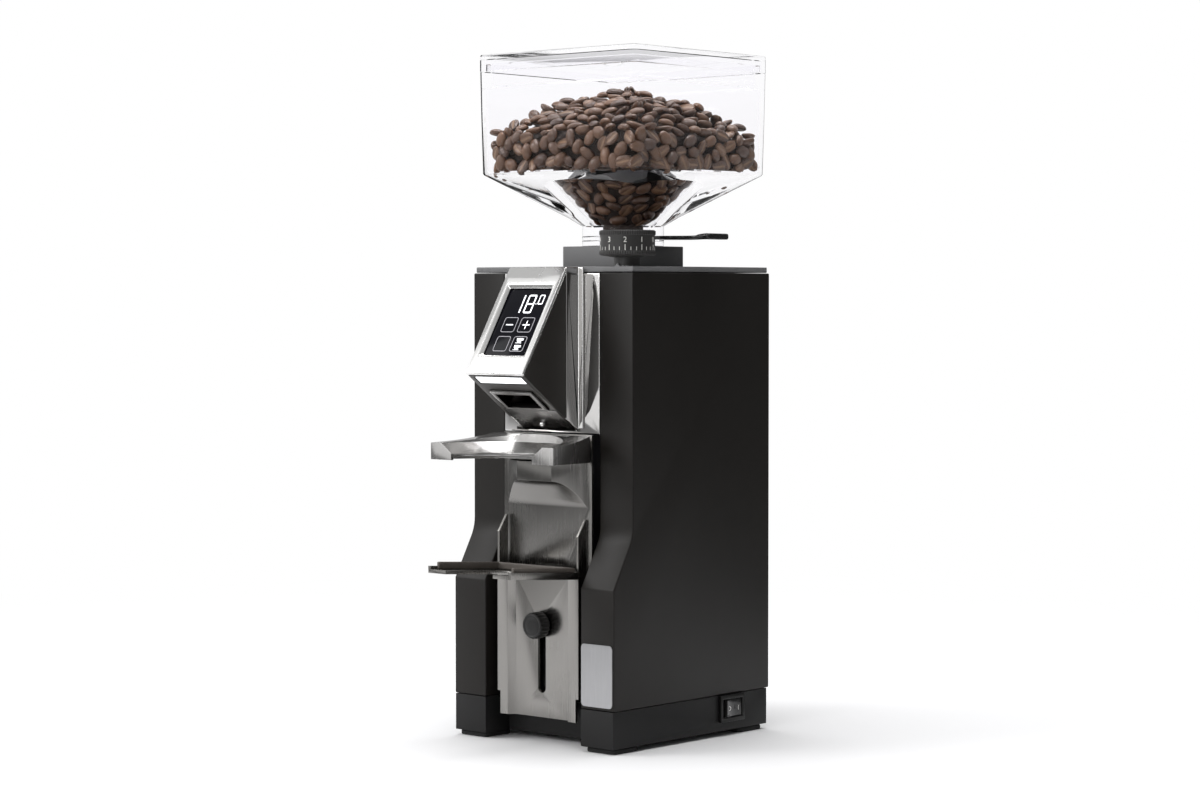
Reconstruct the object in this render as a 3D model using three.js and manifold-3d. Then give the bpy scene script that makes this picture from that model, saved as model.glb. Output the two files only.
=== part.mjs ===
// Espresso burr grinder with a square hopper, a sloping display head and a height-adjustable fork.
// Millimetres, +Z up. The body is drawn with X = 0 on its middle plane, Y = 0 on the front faces
// of its legs (+Y runs to the back) and Z = 0 on the worktop; the outer group then centres it.
import * as THREE from 'three';
import { mergeVertices } from 'three/addons/utils/BufferGeometryUtils.js';
import { ConvexGeometry } from 'three/addons/geometries/ConvexGeometry.js';
import Module from 'manifold-3d';

const wasm = await Module();
wasm.setup();

// ---- driving dimensions -------------------------------------------------------------------
const GAP = 0.3;                 // clearance between touching pieces

const BODY_HALF = 60;            // half the body's width
const BODY_BACK = 135.7;
const COLUMN_FRONT = 15.8;       // front face of the column above the legs
const LEG_INNER = 36;            // the legs and column cheeks start here, either side
const LEG_BEND_LOW = 89.8;       // the legs lean back from here ...
const LEG_BEND_HIGH = 117.7;     // ... to here
const SHEET = 1.5;               // side panel thickness
const RETURN_DEPTH = 18;         // inner return of each cheek
const RETURN_TOP = 245;          // the return stops below the gear deck
const FOOT_HEIGHT = 3;
const BASE_TOP = 23.5;
const BASE_WALL = 3;
const NOTCH_BACK = 19.6;         // recess in the base between the legs
const PANEL_TOP = 262.2;
const COVER_TOP = 265.6;

const AXIS_Y = 76.6;             // vertical axis of motor, burrs and hopper
const THROAT_R = 15;

const HEAD_HALF = 21.3;
const HEAD_TOP = { y: 4.5, z: 265.2 };
const HEAD_NOSE = { y: -31, z: 207 };
const HEAD_HEEL = { y: 15.5, z: 173.9 };
const HEAD_WALL = 1.8;
const PLATE_BOTTOM = 173.2;      // lower edge of the polished plate behind the head

const PANEL_Y = 12.5;            // front face of the fixed brushed panel
const BOSS_Y = 1.4;              // front face of its upper boss
const BOSS_Z = 147;              // lower edge of that boss
const BOSS_TOP = 157.5;

const WEB_Y = 7.8;               // slotted web of the sliding fork bracket
const LAND_Y = 4.1;              // its raised edges
const EAR_X = 30.5;
const KNOB_Z = 66.4;
const SLOT_BOTTOM = 28.3;
const SLOT_HALF = 2.9;

const FORK_CENTRE_Y = -31.5;     // centre of the upper fork's round saddle
const DIAL = { x: 47.7, y: 25.4, r: 15.5 };
const GEAR_MODULE = 1;
const TEETH = { pinion: 14, idler: 28, ring: 70 };

const HOPPER_HALF = { x: 59.4, y: 58.8 };
const HOPPER_DRAFT = 1.05;
const HOPPER_WALL = 2.6;
const FUNNEL_TOP = 318.6;
const FUNNEL_BOTTOM = 289;
const COLLAR_R = 23.4;
const BOWL_R = 42;               // round bowl in the hopper's floor
const COLLAR_Z = 277.8;
const LID_BOTTOM = 376.6;
const LID_TOP = 386.3;

const SWITCH = { y: 101.5, z: 15.6, halfY: 10.7, halfZ: 7.6 };
const ROCKER_TILT = 7;           // degrees to either side of level; it rests pressed at its on end

// Extremes of the whole machine, which set its origin at the middle of its footprint.
const EXTENT = { left: -BODY_HALF, right: 71, front: -50.5, back: 139.5 };

// ---- solids -------------------------------------------------------------------------------
function solidOf(geometry) {
  const plain = geometry.clone();
  plain.deleteAttribute('normal');
  plain.deleteAttribute('uv');
  const merged = mergeVertices(plain, 1e-4);
  return new wasm.Manifold(new wasm.Mesh({
    numProp: 3,
    vertProperties: new Float32Array(merged.attributes.position.array),
    triVerts: new Uint32Array(merged.index.array),
  }));
}

function geometryOf(solid) {
  const mesh = solid.getMesh();
  const geometry = new THREE.BufferGeometry();
  geometry.setAttribute('position', new THREE.BufferAttribute(new Float32Array(mesh.vertProperties), 3));
  geometry.setIndex(new THREE.BufferAttribute(new Uint32Array(mesh.triVerts), 1));
  geometry.computeVertexNormals();
  return geometry;
}

function join(...solids) {
  return solids.reduce((whole, piece) => whole.add(piece));
}

function cut(whole, ...tools) {
  return tools.reduce((left, tool) => left.subtract(tool), whole);
}

function box([x0, x1], [y0, y1], [z0, z1]) {
  const geometry = new THREE.BoxGeometry(x1 - x0, y1 - y0, z1 - z0);
  geometry.translate((x0 + x1) / 2, (y0 + y1) / 2, (z0 + z1) / 2);
  return solidOf(geometry);
}

function shapeOf(points) {
  return new THREE.Shape(points.map(([a, b]) => new THREE.Vector2(a, b)));
}

// A shape drawn in plan (x, y), raised from z0 to z1.
function prismZ(shape, [z0, z1], curveSegments = 12) {
  const geometry = new THREE.ExtrudeGeometry(shape, { depth: z1 - z0, bevelEnabled: false, curveSegments });
  geometry.translate(0, 0, z0);
  return solidOf(geometry);
}

// A side profile drawn as (y, z), carried across from x0 to x1.
function prismX(shape, [x0, x1], curveSegments = 12) {
  const geometry = new THREE.ExtrudeGeometry(shape, { depth: x1 - x0, bevelEnabled: false, curveSegments });
  geometry.applyMatrix4(new THREE.Matrix4().makeBasis(
    new THREE.Vector3(0, 1, 0), new THREE.Vector3(0, 0, 1), new THREE.Vector3(1, 0, 0)));
  geometry.translate(x0, 0, 0);
  return solidOf(geometry);
}

// A front view drawn as (x, z), carried back from y0 to y1.
function prismY(shape, [y0, y1], curveSegments = 12) {
  const geometry = new THREE.ExtrudeGeometry(shape, { depth: y1 - y0, bevelEnabled: false, curveSegments });
  geometry.rotateX(Math.PI / 2);
  geometry.translate(0, y1, 0);
  return solidOf(geometry);
}

// A body of revolution about a vertical axis through (x, y), from [radius, z] points.
function turned(profile, { x = 0, y = AXIS_Y, segments = 32 } = {}) {
  const geometry = new THREE.LatheGeometry(profile.map(([r, z]) => new THREE.Vector2(r, z)), segments);
  geometry.rotateX(Math.PI / 2);
  geometry.translate(x, y, 0);
  return solidOf(geometry);
}

function rod(radius, [z0, z1], place = {}) {
  return turned([[0, z0], [radius, z0], [radius, z1], [0, z1]], place);
}

function tube(outer, inner, [z0, z1], place = {}) {
  return turned([[inner, z0], [outer, z0], [outer, z1], [inner, z1], [inner, z0]], place);
}

// A body of revolution about an axis along +Y through (x, z), from [radius, y] points.
function turnedY(profile, { x = 0, z = 0, segments = 32 } = {}) {
  const geometry = new THREE.LatheGeometry(profile.map(([r, y]) => new THREE.Vector2(r, y)), segments);
  geometry.translate(x, 0, z);
  return solidOf(geometry);
}

function roundedRect(cx, cy, halfX, halfY, radius) {
  const shape = new THREE.Shape();
  const corners = [[1, -1, -90], [1, 1, 0], [-1, 1, 90], [-1, -1, 180]];
  corners.forEach(([sx, sy, from]) => {
    const start = THREE.MathUtils.degToRad(from);
    shape.absarc(cx + sx * (halfX - radius), cy + sy * (halfY - radius), radius, start, start + Math.PI / 2);
  });
  shape.closePath();
  return shape;
}

// Points of a rounded rectangle or a circle about the hopper axis, for convex lofts.
function ringPoints(halfX, halfY, radius, z, perCorner = 5) {
  const points = [];
  [[1, -1, -90], [1, 1, 0], [-1, 1, 90], [-1, -1, 180]].forEach(([sx, sy, from]) => {
    for (let i = 0; i <= perCorner; i += 1) {
      const angle = THREE.MathUtils.degToRad(from + (90 * i) / perCorner);
      points.push(new THREE.Vector3(
        sx * (halfX - radius) + radius * Math.cos(angle),
        AXIS_Y + sy * (halfY - radius) + radius * Math.sin(angle), z));
    }
  });
  return points;
}

function circlePoints(radius, z, count = 40) {
  return Array.from({ length: count }, (_, i) => {
    const angle = (2 * Math.PI * i) / count;
    return new THREE.Vector3(radius * Math.cos(angle), AXIS_Y + radius * Math.sin(angle), z);
  });
}

function loft(...rings) {
  return solidOf(new ConvexGeometry(rings.flat()));
}

// Frames that lie along the head's sloping faces: local y runs along the face, local z off it.
const FACE_SLOPE = Math.atan2(HEAD_TOP.z - HEAD_NOSE.z, HEAD_TOP.y - HEAD_NOSE.y);
const UNDER_SLOPE = Math.atan2(HEAD_HEEL.z - HEAD_NOSE.z, HEAD_HEEL.y - HEAD_NOSE.y);

function placed(solid, frame) {
  return solidOf(geometryOf(solid).applyMatrix4(frame));
}

function onSlope(solid, slope) {
  return placed(solid, new THREE.Matrix4().makeRotationX(slope).setPosition(0, HEAD_NOSE.y, HEAD_NOSE.z));
}

// ---- the exported group -------------------------------------------------------------------
const machine = new THREE.Group();
machine.position.set(-(EXTENT.left + EXTENT.right) / 2, -(EXTENT.front + EXTENT.back) / 2, 0);

const FINISH = {
  black: { color: 0x1b1a19, roughness: 0.5, metalness: 0.3 },
  grey: { color: 0x55565a, roughness: 0.45, metalness: 0.4 },
  rubber: { color: 0x111111, roughness: 0.9, metalness: 0 },
  steel: { color: 0xb4b2ae, roughness: 0.3, metalness: 1 },
  chrome: { color: 0xe2e2e4, roughness: 0.08, metalness: 1 },
  alloy: { color: 0xa3a5a8, roughness: 0.45, metalness: 0.9 },
  plastic: { color: 0x141414, roughness: 0.55, metalness: 0 },
  gloss: { color: 0x070709, roughness: 0.08, metalness: 0 },
  clear: { color: 0xe9e6f2, roughness: 0.05, metalness: 0, transparent: true, opacity: 0.35 },
  beans: { color: 0x4b2c1c, roughness: 0.5, metalness: 0 },
  light: { color: 0xf3f8ff, roughness: 0.4, metalness: 0 },
  copper: { color: 0xa8592c, roughness: 0.4, metalness: 0.8 },
  board: { color: 0x1f5b3a, roughness: 0.6, metalness: 0 },
  label: { color: 0xc9c9cb, roughness: 0.35, metalness: 0.6 },
};

function add(name, finish, solid) {
  const mesh = new THREE.Mesh(geometryOf(solid), new THREE.MeshStandardMaterial(FINISH[finish]));
  mesh.name = name;
  machine.add(mesh);
}

// ---- base and feet ------------------------------------------------------------------------
function notchedPlan(inset) {
  const side = BODY_HALF - 0.6 - inset;
  const inner = LEG_INNER + inset;
  const back = BODY_BACK - 1.5 - inset;
  return shapeOf([
    [-side, inset], [-inner, inset], [-inner, NOTCH_BACK + inset], [inner, NOTCH_BACK + inset],
    [inner, inset], [side, inset], [side, back], [-side, back],
  ]);
}

function buildBase() {
  const switchHole = box([50, 70], [SWITCH.y - 9.5, SWITCH.y + 9.5], [SWITCH.z - 6.3, SWITCH.z + 6.3]);
  const cordHole = turnedY([[0, 120], [6.3, 120], [6.3, 140], [0, 140]], { x: -30, z: 13 });
  add('base_tray', 'plastic', cut(
    prismZ(notchedPlan(0), [FOOT_HEIGHT + 0.1, BASE_TOP]),
    prismZ(notchedPlan(BASE_WALL), [FOOT_HEIGHT + BASE_WALL, BASE_TOP + 5]),
    switchHole, cordHole));
  const half = 10.6;
  const places = [
    ['front_left', -48, 12.6], ['front_right', 48, 12.6],
    ['rear_left', -48, 121], ['rear_right', 48, 121],
  ];
  places.forEach(([place, x, y]) => {
    add(`foot_${place}`, 'rubber', prismZ(roundedRect(x, y, half, half, 3), [0, FOOT_HEIGHT - 0.2], 4));
  });
}

// ---- side panels, rear panel, top cover -----------------------------------------------------
const LEAN = Math.atan2(COLUMN_FRONT, LEG_BEND_HIGH - LEG_BEND_LOW);

// Side outline of a cheek, its front edge moved back by inset.
function cheekOutline(inset, bottom, top, back) {
  const drop = inset * Math.tan(LEAN / 2);
  const softness = 6;
  const shape = new THREE.Shape();
  const bend = [COLUMN_FRONT + inset, LEG_BEND_HIGH - drop];
  shape.moveTo(inset, bottom);
  shape.lineTo(inset, LEG_BEND_LOW - drop);
  shape.lineTo(bend[0] - softness * Math.sin(LEAN), bend[1] - softness * Math.cos(LEAN));
  shape.quadraticCurveTo(bend[0], bend[1], bend[0], bend[1] + softness);
  shape.lineTo(bend[0], top);
  shape.lineTo(back, top);
  shape.lineTo(back, bottom);
  shape.closePath();
  return shape;
}

function buildSidePanels() {
  const bottom = BASE_TOP + GAP;
  [['left_side_panel', -1], ['right_side_panel', 1]].forEach(([name, side]) => {
    const across = (near, far) => (side > 0 ? [near, far] : [-far, -near]);
    const shell = cut(
      prismX(cheekOutline(0, bottom, PANEL_TOP, BODY_BACK), across(LEG_INNER, BODY_HALF), 5),
      prismX(cheekOutline(SHEET, 0, 300, 200), across(LEG_INNER + SHEET, BODY_HALF - SHEET), 5),
      prismX(cheekOutline(RETURN_DEPTH, 0, 300, 200), across(LEG_INNER - 5, BODY_HALF - SHEET), 5),
      box(across(LEG_INNER - 5, LEG_INNER + SHEET + 1), [COLUMN_FRONT + SHEET, 60], [RETURN_TOP, 300]));
    add(name, 'black', shell);
  });
}

function buildRearPanel() {
  const half = BODY_HALF - SHEET - GAP;
  let panel = box([-half, half], [BODY_BACK - 2, BODY_BACK - 0.2], [BASE_TOP + GAP, PANEL_TOP - GAP]);
  const slots = 9;
  const pitch = 8;
  for (let i = 0; i < slots; i += 1) {
    const z = 60 + i * pitch;
    panel = panel.subtract(box([-32, 32], [BODY_BACK - 5, BODY_BACK + 5], [z, z + 2.6]));
  }
  const screws = [
    ['upper_left', -50, 252], ['upper_right', 50, 252], ['lower_left', -50, 34], ['lower_right', 50, 34],
  ];
  screws.forEach(([place, x, z]) => {
    panel = panel.subtract(turnedY([[0, 130], [1.9, 130], [1.9, 140], [0, 140]], { x, z, segments: 16 }));
    add(`rear_screw_${place}`, 'steel', turnedY([
      [0, BODY_BACK - 8], [1.6, BODY_BACK - 8], [1.6, BODY_BACK + 0.1], [3.3, BODY_BACK + 0.1],
      [2.9, BODY_BACK + 1.3], [1.2, BODY_BACK + 1.9], [0, BODY_BACK + 1.9],
    ], { x, z, segments: 16 }));
  });
  add('rear_panel', 'black', panel);
}

function buildTopCover() {
  const inset = 1;
  const half = BODY_HALF - inset;
  const [front, back] = [COLUMN_FRONT + inset, BODY_BACK - inset];
  const skin = 1.5;
  const arrow = [[DIAL.x - 2.8, COVER_TOP - 1], [DIAL.x + 2.8, COVER_TOP - 1], [DIAL.x, COVER_TOP + 2]];
  const pointer = prismY(shapeOf(arrow),
    [front, front + 1]);
  add('top_cover', 'grey', cut(
    join(box([-half, half], [front, back], [PANEL_TOP + GAP, COVER_TOP]), pointer),
    box([-half + 2, half - 2], [front + 2, back - 2], [PANEL_TOP - 5, COVER_TOP - skin]),
    rod(20, [PANEL_TOP - 5, COVER_TOP + 5]),
    rod(4.5, [PANEL_TOP - 5, COVER_TOP + 5], { x: DIAL.x, y: DIAL.y, segments: 24 })));
  const blockHalf = 24.6;
  add('hopper_seat_block', 'grey', cut(
    prismZ(roundedRect(0, AXIS_Y, blockHalf, blockHalf, 1), [COVER_TOP + GAP, COLLAR_Z - GAP], 3),
    rod(THROAT_R, [COVER_TOP - 5, COLLAR_Z + 5])));
}

// ---- display head ---------------------------------------------------------------------------
function buildHead() {
  const bezelBack = [HEAD_NOSE.y + 1.75, HEAD_NOSE.z - 1.1];
  const bezel = prismX(shapeOf([
    [HEAD_TOP.y, HEAD_TOP.z], [HEAD_NOSE.y, HEAD_NOSE.z], bezelBack, [HEAD_TOP.y, HEAD_TOP.z - 3.9],
  ]), [-HEAD_HALF, HEAD_HALF]);
  const windowAt = (halfX, low, high, off) => (
    [[-halfX, low], [halfX, low], [halfX, high], [-halfX, high]].map(([x, y]) => new THREE.Vector3(x, y, off)));
  const window = loft(windowAt(17.5, 11, 57.2, 0.1), windowAt(15.1, 13.4, 54.8, -2.3));
  add('display_bezel', 'chrome', bezel.subtract(onSlope(window, FACE_SLOPE)));
  add('display_glass', 'gloss', onSlope(box([-16.4, 16.4], [12.2, 56], [-3.5, -2.4]), FACE_SLOPE));
  const board = join(
    box([-16.5, 16.5], [10, 56.5], [-5.4, -3.8]),
    box([-12, 12], [16, 50], [-7.2, -5.4]));
  add('display_board', 'board', onSlope(board, FACE_SLOPE));

  const housing = prismX(shapeOf([
    [HEAD_TOP.y, HEAD_TOP.z - 4.4],
    [bezelBack[0] + 0.3, bezelBack[1] - 0.1], [bezelBack[0] + 0.6, bezelBack[1] - 0.5],
    [HEAD_TOP.y, 181.7],
  ]), [-HEAD_HALF, HEAD_HALF]);
  const hollow = prismX(shapeOf([[10, 180.3], [-27, 206.7], [-40, 215], [10, 290]]),
    [-HEAD_HALF + HEAD_WALL, HEAD_HALF - HEAD_WALL]);
  const lensWindow = onSlope(box([-17.6, 17.6], [3.9, 10.2], [-5, 5]), UNDER_SLOPE);
  const spoutWindow = onSlope(box([-16, 16], [16.4, 34.6], [-5, 8]), UNDER_SLOPE);
  const inside = HEAD_HALF - HEAD_WALL;
  const plateWindow = onSlope(box([-inside, inside], [35.3, 60], [-5, 8]), UNDER_SLOPE);
  add('head_housing', 'plastic', cut(housing, hollow, lensWindow, spoutWindow, plateWindow));
  add('lamp_lens', 'light', onSlope(box([-17.3, 17.3], [4.2, 9.9], [0.2, 1.6]), UNDER_SLOPE));

  const frameFront = HEAD_TOP.y + GAP;
  const outline = shapeOf([
    [frameFront, HEAD_TOP.z], [HEAD_HEEL.y, HEAD_TOP.z], [HEAD_HEEL.y, HEAD_HEEL.z + 0.3], [frameFront, 181.8],
  ]);
  const flange = box([-24.7, 24.7], [HEAD_HEEL.y - 1.2, HEAD_HEEL.y], [176, HEAD_TOP.z]);
  const frameHollow = box([-inside, inside], [0, 30], [150, HEAD_TOP.z - HEAD_WALL]);
  add('head_frame', 'chrome', cut(join(prismX(outline, [-HEAD_HALF, HEAD_HALF]), flange), frameHollow));

  const chute = cut(
    prismX(shapeOf([
      [-17.0, 197.0], [-13.0, 212], [-5, 224], [2, 229.5], [36.2, 229.5], [36.2, 209.5], [9, 209.5], [-4.2, 187.9],
    ]), [-14.6, 14.6]),
    prismX(shapeOf([
      [-19.5, 192.5], [-14.2, 200], [-11.2, 211.3], [-3.7, 222.6], [2.6, 227.7], [50, 227.7], [50, 211.3], [7.9, 211.3],
      [-4.0, 191.5], [-9, 182],
    ]), [-12.8, 12.8]));
  const lip = onSlope(box([-15.6, 15.6], [16.8, 34.2], [-1.2, 1.6]), UNDER_SLOPE);
  const lipHole = onSlope(box([-12.8, 12.8], [19.2, 32.2], [-6, 9]), UNDER_SLOPE);
  add('spout_chute', 'plastic', cut(join(chute, lip), lipHole));

  const button = { along: 49.1, r: 1.9 };
  const plate = onSlope(box([-inside + GAP, inside - GAP], [35.6, 55.8], [0, 1.5]), UNDER_SLOPE);
  const pin = (radius, from, to) =>
    onSlope(rod(radius, [from, to], { y: button.along, segments: 20 }), UNDER_SLOPE);
  add('underside_plate', 'plastic', plate.subtract(pin(button.r + 0.4, -5, 5)));
  const domeSide = [[1.1, -2.1], [1.7, -1.3], [1.9, -0.4], [1.9, 1.9], [3.2, 1.9], [3.2, 2.7]];
  const dome = turned([[0, -2.4], ...domeSide, [0, 2.7]],
    { y: button.along, segments: 20 });
  add('start_button', 'steel', onSlope(dome, UNDER_SLOPE));
  add('start_switch', 'plastic', onSlope(box([-5, 5], [39, 49.6], [4.9, 8.9]), UNDER_SLOPE));

  const half = LEG_INNER - GAP;
  add('polished_plate', 'chrome', cut(
    box([-half, half], [COLUMN_FRONT, COLUMN_FRONT + 1.5], [PLATE_BOTTOM, PANEL_TOP - GAP]),
    box([-15, 15], [0, 40], [209.1, 229.9])));
}

// ---- fixed front panel ------------------------------------------------------------------------
function buildFrontPanel() {
  const half = 33;
  const scoopDepth = PANEL_Y - BOSS_Y;
  const scoopDrop = 14.3;
  const outline = new THREE.Shape();
  outline.moveTo(PANEL_Y, BASE_TOP + 1);
  const steps = 8;
  for (let i = steps; i >= 0; i -= 1) {
    const back = i / steps;
    outline.lineTo(BOSS_Y + scoopDepth * back, BOSS_Z - scoopDrop * back * back);
  }
  outline.lineTo(BOSS_Y, BOSS_TOP);
  outline.lineTo(PANEL_Y, BOSS_TOP);
  outline.lineTo(PANEL_Y, PLATE_BOTTOM - GAP);
  outline.lineTo(40, PLATE_BOTTOM - GAP);
  outline.lineTo(40, BASE_TOP + 1);
  outline.closePath();
  const plan = shapeOf([
    [-half, 40], [-half, PANEL_Y], [-30, PANEL_Y], [-12.9, BOSS_Y],
    [12.9, BOSS_Y], [30, PANEL_Y], [half, PANEL_Y], [half, 40],
  ]);
  const outer = prismX(outline, [-half, half]).intersect(prismZ(plan, [0, 300]));
  const thickness = 1.6;
  const inner = placed(outer, new THREE.Matrix4().makeTranslation(0, thickness, 0));
  const studHole = turnedY([[0, 0], [3.1, 0], [3.1, 30], [0, 30]], { z: KNOB_Z, segments: 20 });
  add('front_panel', 'steel', cut(outer, inner, box([-50, 50], [PANEL_Y + thickness, 60], [0, 300]), studHole));
}

// ---- sliding lower fork ------------------------------------------------------------------------
// Height of the lower fork's arms at a depth y: they rise a little towards their tips.
function armLift(y) {
  return 95.4 + (9.3 - y) * 0.07;
}

function armSlab(below, above, front, back) {
  return shapeOf([
    [back, armLift(back) - below], [back, armLift(back) + above],
    [front, armLift(front) + above], [front, armLift(front) - below],
  ]);
}

function buildLowerFork() {
  const sheet = 1.5;
  const web = prismZ(shapeOf([
    [-EAR_X, LAND_Y], [-22.8, LAND_Y], [-19.8, WEB_Y], [19.8, WEB_Y], [22.8, LAND_Y], [EAR_X, LAND_Y],
    [EAR_X, LAND_Y + sheet], [23.5, LAND_Y + sheet], [20.5, WEB_Y + sheet],
    [-20.5, WEB_Y + sheet], [-23.5, LAND_Y + sheet], [-EAR_X, LAND_Y + sheet],
  ]), [14.6, 94.5]);
  const corner = (side) => box(side > 0 ? [28.4, 40] : [-40, -28.4], [0, 20], [0, 27.5]);
  const ear = shapeOf([[LAND_Y, 27.5], [11.2, 27.5], [11.2, 126.3], [10.2, 126.3], [LAND_Y, 117.2]]);
  const slot = new THREE.Shape();
  const slotTop = KNOB_Z;
  slot.absarc(0, slotTop, SLOT_HALF, 0, Math.PI);
  slot.absarc(0, SLOT_BOTTOM + SLOT_HALF, SLOT_HALF, Math.PI, 2 * Math.PI);
  slot.closePath();

  const [tip, heel] = [EXTENT.front, 9.3];
  const outerHalf = 31;
  const tray = prismX(armSlab(2, 0, tip, heel), [-outerHalf, outerHalf]);
  const lips = [1, -1].map((side) => prismX(armSlab(1.6, 1.9, tip, LAND_Y + 0.6),
    side > 0 ? [outerHalf - 1.7, outerHalf] : [-outerHalf, -outerHalf + 1.7]));
  const mouth = roundedRect(0, -48, 17.8, 42, 13);
  add('fork_bracket', 'steel', cut(
    join(
      cut(web, corner(1), corner(-1)),
      prismX(ear, [EAR_X - sheet, EAR_X]),
      prismX(ear, [-EAR_X, -EAR_X + sheet]),
      cut(tray, prismZ(mouth, [80, 120])),
      ...lips),
    prismY(slot, [0, 20])));

  const linerOuter = outerHalf - 1.7 - GAP;
  const linerInner = linerOuter - 2;
  const linerBack = LAND_Y - GAP - 0.3;
  const linerPlan = shapeOf([
    [-linerOuter, -46], [-linerInner, -46], [-linerInner, linerBack - 2], [linerInner, linerBack - 2],
    [linerInner, -46], [linerOuter, -46], [linerOuter, linerBack], [-linerOuter, linerBack],
  ]);
  const linerBand = prismX(armSlab(-GAP, 4.3, -60, 20), [-40, 40]);
  add('fork_liner', 'rubber', prismZ(linerPlan, [80, 120]).intersect(linerBand));

  const face = -0.8;
  const [rim, neck] = [7.45, 4.4];
  add('clamp_knob', 'plastic', turnedY([
    [0, face + 0.5], [rim - 1.2, face + 0.5], [rim - 0.5, face], [rim, face + 0.7], [rim, 5.6], [rim - 0.8, 6.3],
    [neck, 6.3], [neck, WEB_Y - GAP], [3, WEB_Y - GAP], [3, 1.4], [0, 1.4],
  ], { z: KNOB_Z, segments: 36 }));
  add('clamp_stud', 'steel', turnedY([
    [0, 1.8], [2.6, 1.8], [2.6, 14.6], [6.5, 14.6], [6.5, 17.4], [2.6, 17.4], [2.6, 20], [0, 20],
  ], { z: KNOB_Z, segments: 20 }));
}

// ---- upper fork ----------------------------------------------------------------------------------
function buildUpperFork() {
  const [tip, back] = [-33.2, 7.7];
  const outline = new THREE.Shape();
  outline.moveTo(tip, 158.7);
  outline.lineTo(tip, 168);
  outline.quadraticCurveTo(-8, 169, back, 172.6);
  outline.lineTo(back, 158);
  outline.closePath();
  const plan = shapeOf([[-46, tip], [46, tip], [35.9, back], [-35.9, back]]);
  const pad = box([-22, 22], [back - 2, PANEL_Y - GAP], [159, 172.4]);
  const saddle = turned([[0, 140], [30.5, 140], [30.5, 162.2], [37.9, 168], [38.6, 175], [0, 175]],
    { y: FORK_CENTRE_Y, segments: 64 });
  const skirt = 2;
  const hollowPlan = shapeOf([
    [-46 + skirt, tip + skirt], [46 - skirt, tip + skirt], [35.9 - skirt, back - skirt], [-35.9 + skirt, back - skirt],
  ]);
  const hollow = prismZ(hollowPlan, [140, 160.6]);
  const rearRelief = box([-31.5, 31.5], [-2, 20], [140, 158.4]);
  const whole = join(prismX(outline, [-50, 50], 6).intersect(prismZ(plan, [100, 200])), pad);
  add('upper_fork', 'steel', cut(whole, saddle, hollow, rearRelief));
}

// ---- hopper ----------------------------------------------------------------------------------------
function buildHopper() {
  const { x, y } = HOPPER_HALF;
  const corner = 5;
  const low = { x: x - HOPPER_DRAFT, y: y - HOPPER_DRAFT };
  const wallTop = LID_BOTTOM - GAP;
  const rim = { x: x - 2.9, y: y - 2.9 };
  const rimTop = 381;
  const shell = join(
    loft(ringPoints(low.x, low.y, corner, FUNNEL_TOP), ringPoints(x, y, corner, wallTop)),
    loft(ringPoints(low.x, low.y, corner, FUNNEL_TOP + 1), circlePoints(COLLAR_R, FUNNEL_BOTTOM)),
    rod(COLLAR_R, [COLLAR_Z, FUNNEL_BOTTOM + 0.5]),
    prismZ(roundedRect(0, AXIS_Y, rim.x, rim.y, 3), [wallTop - 4, rimTop], 5));
  const wall = HOPPER_WALL;
  const floor = FUNNEL_TOP + 0.4;
  const bowlTop = floor - 2;
  const bore = loft(circlePoints(BOWL_R, bowlTop), circlePoints(THROAT_R, FUNNEL_BOTTOM - 0.5));
  const apron = loft(
    ringPoints(low.x - wall, low.y - wall, corner - 1.5, floor + 0.2), circlePoints(BOWL_R, bowlTop - 0.05));
  const hollow = loft(
    ringPoints(low.x - wall, low.y - wall, corner - 1.5, floor),
    ringPoints(x - wall - 0.2, y - wall - 0.2, corner - 1.5, wallTop - 4));
  const mouth = prismZ(roundedRect(0, AXIS_Y, rim.x - wall, rim.y - wall, 3), [wallTop - 8, rimTop + 5], 5);
  const gateSlot = { half: 16.4, z: [280.8, 283.2] };
  add('hopper', 'clear', cut(shell, bore, apron, hollow, mouth,
    rod(THROAT_R, [COLLAR_Z - 5, FUNNEL_BOTTOM + 2]),
    rod(gateSlot.half, gateSlot.z),
    box([0, 40], [AXIS_Y - gateSlot.half, AXIS_Y + gateSlot.half], gateSlot.z)));

  const lidWall = 2.2;
  add('hopper_lid', 'clear', cut(
    prismZ(roundedRect(0, AXIS_Y, x + 0.1, y + 0.1, corner), [LID_BOTTOM, LID_TOP], 5),
    prismZ(roundedRect(0, AXIS_Y, x - lidWall, y - lidWall, corner - 1.5), [LID_BOTTOM - 5, LID_TOP - 2.5], 5)));

  const heap = (share, z) =>
    ringPoints((low.x - wall - 0.5) * share, (low.y - wall - 0.5) * share, 3.5 * share, z);
  add('bean_heap', 'beans', join(
    rod(THROAT_R - 0.5, [284, FUNNEL_BOTTOM + 1]),
    loft(circlePoints(THROAT_R - 0.5, FUNNEL_BOTTOM), circlePoints(BOWL_R - 0.6, bowlTop + 0.3)),
    loft(circlePoints(BOWL_R - 0.8, bowlTop + 0.25), heap(0.995, floor + 1.2),
      heap(1, 337), heap(0.8, 350), heap(0.5, 359), heap(0.2, 363.5))));

  const reach = 37;
  const blade = { half: 16, z: [281.1, 282.9] };
  const tail = shapeOf([
    [reach, AXIS_Y - blade.half], [reach + 10, AXIS_Y - blade.half],
    [reach + 20, AXIS_Y - 8.5], [61.5, AXIS_Y - 8.5],
    [61.5, AXIS_Y + 8.5], [reach + 20, AXIS_Y + 8.5],
    [reach + 10, AXIS_Y + blade.half], [reach, AXIS_Y + blade.half],
  ]);
  const grip = roundedRect(66, AXIS_Y, EXTENT.right - 66, 9.5, 4);
  add('gate_slide', 'plastic', join(
    rod(blade.half, blade.z, { x: reach }), prismZ(tail, blade.z), prismZ(grip, [280.7, 284.1], 5)));
}

// ---- grind adjustment --------------------------------------------------------------------------------
const MESH_ANGLE = Math.atan2(DIAL.y - AXIS_Y, DIAL.x);

function pitchRadius(teeth) {
  return (teeth * GEAR_MODULE) / 2;
}

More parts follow.
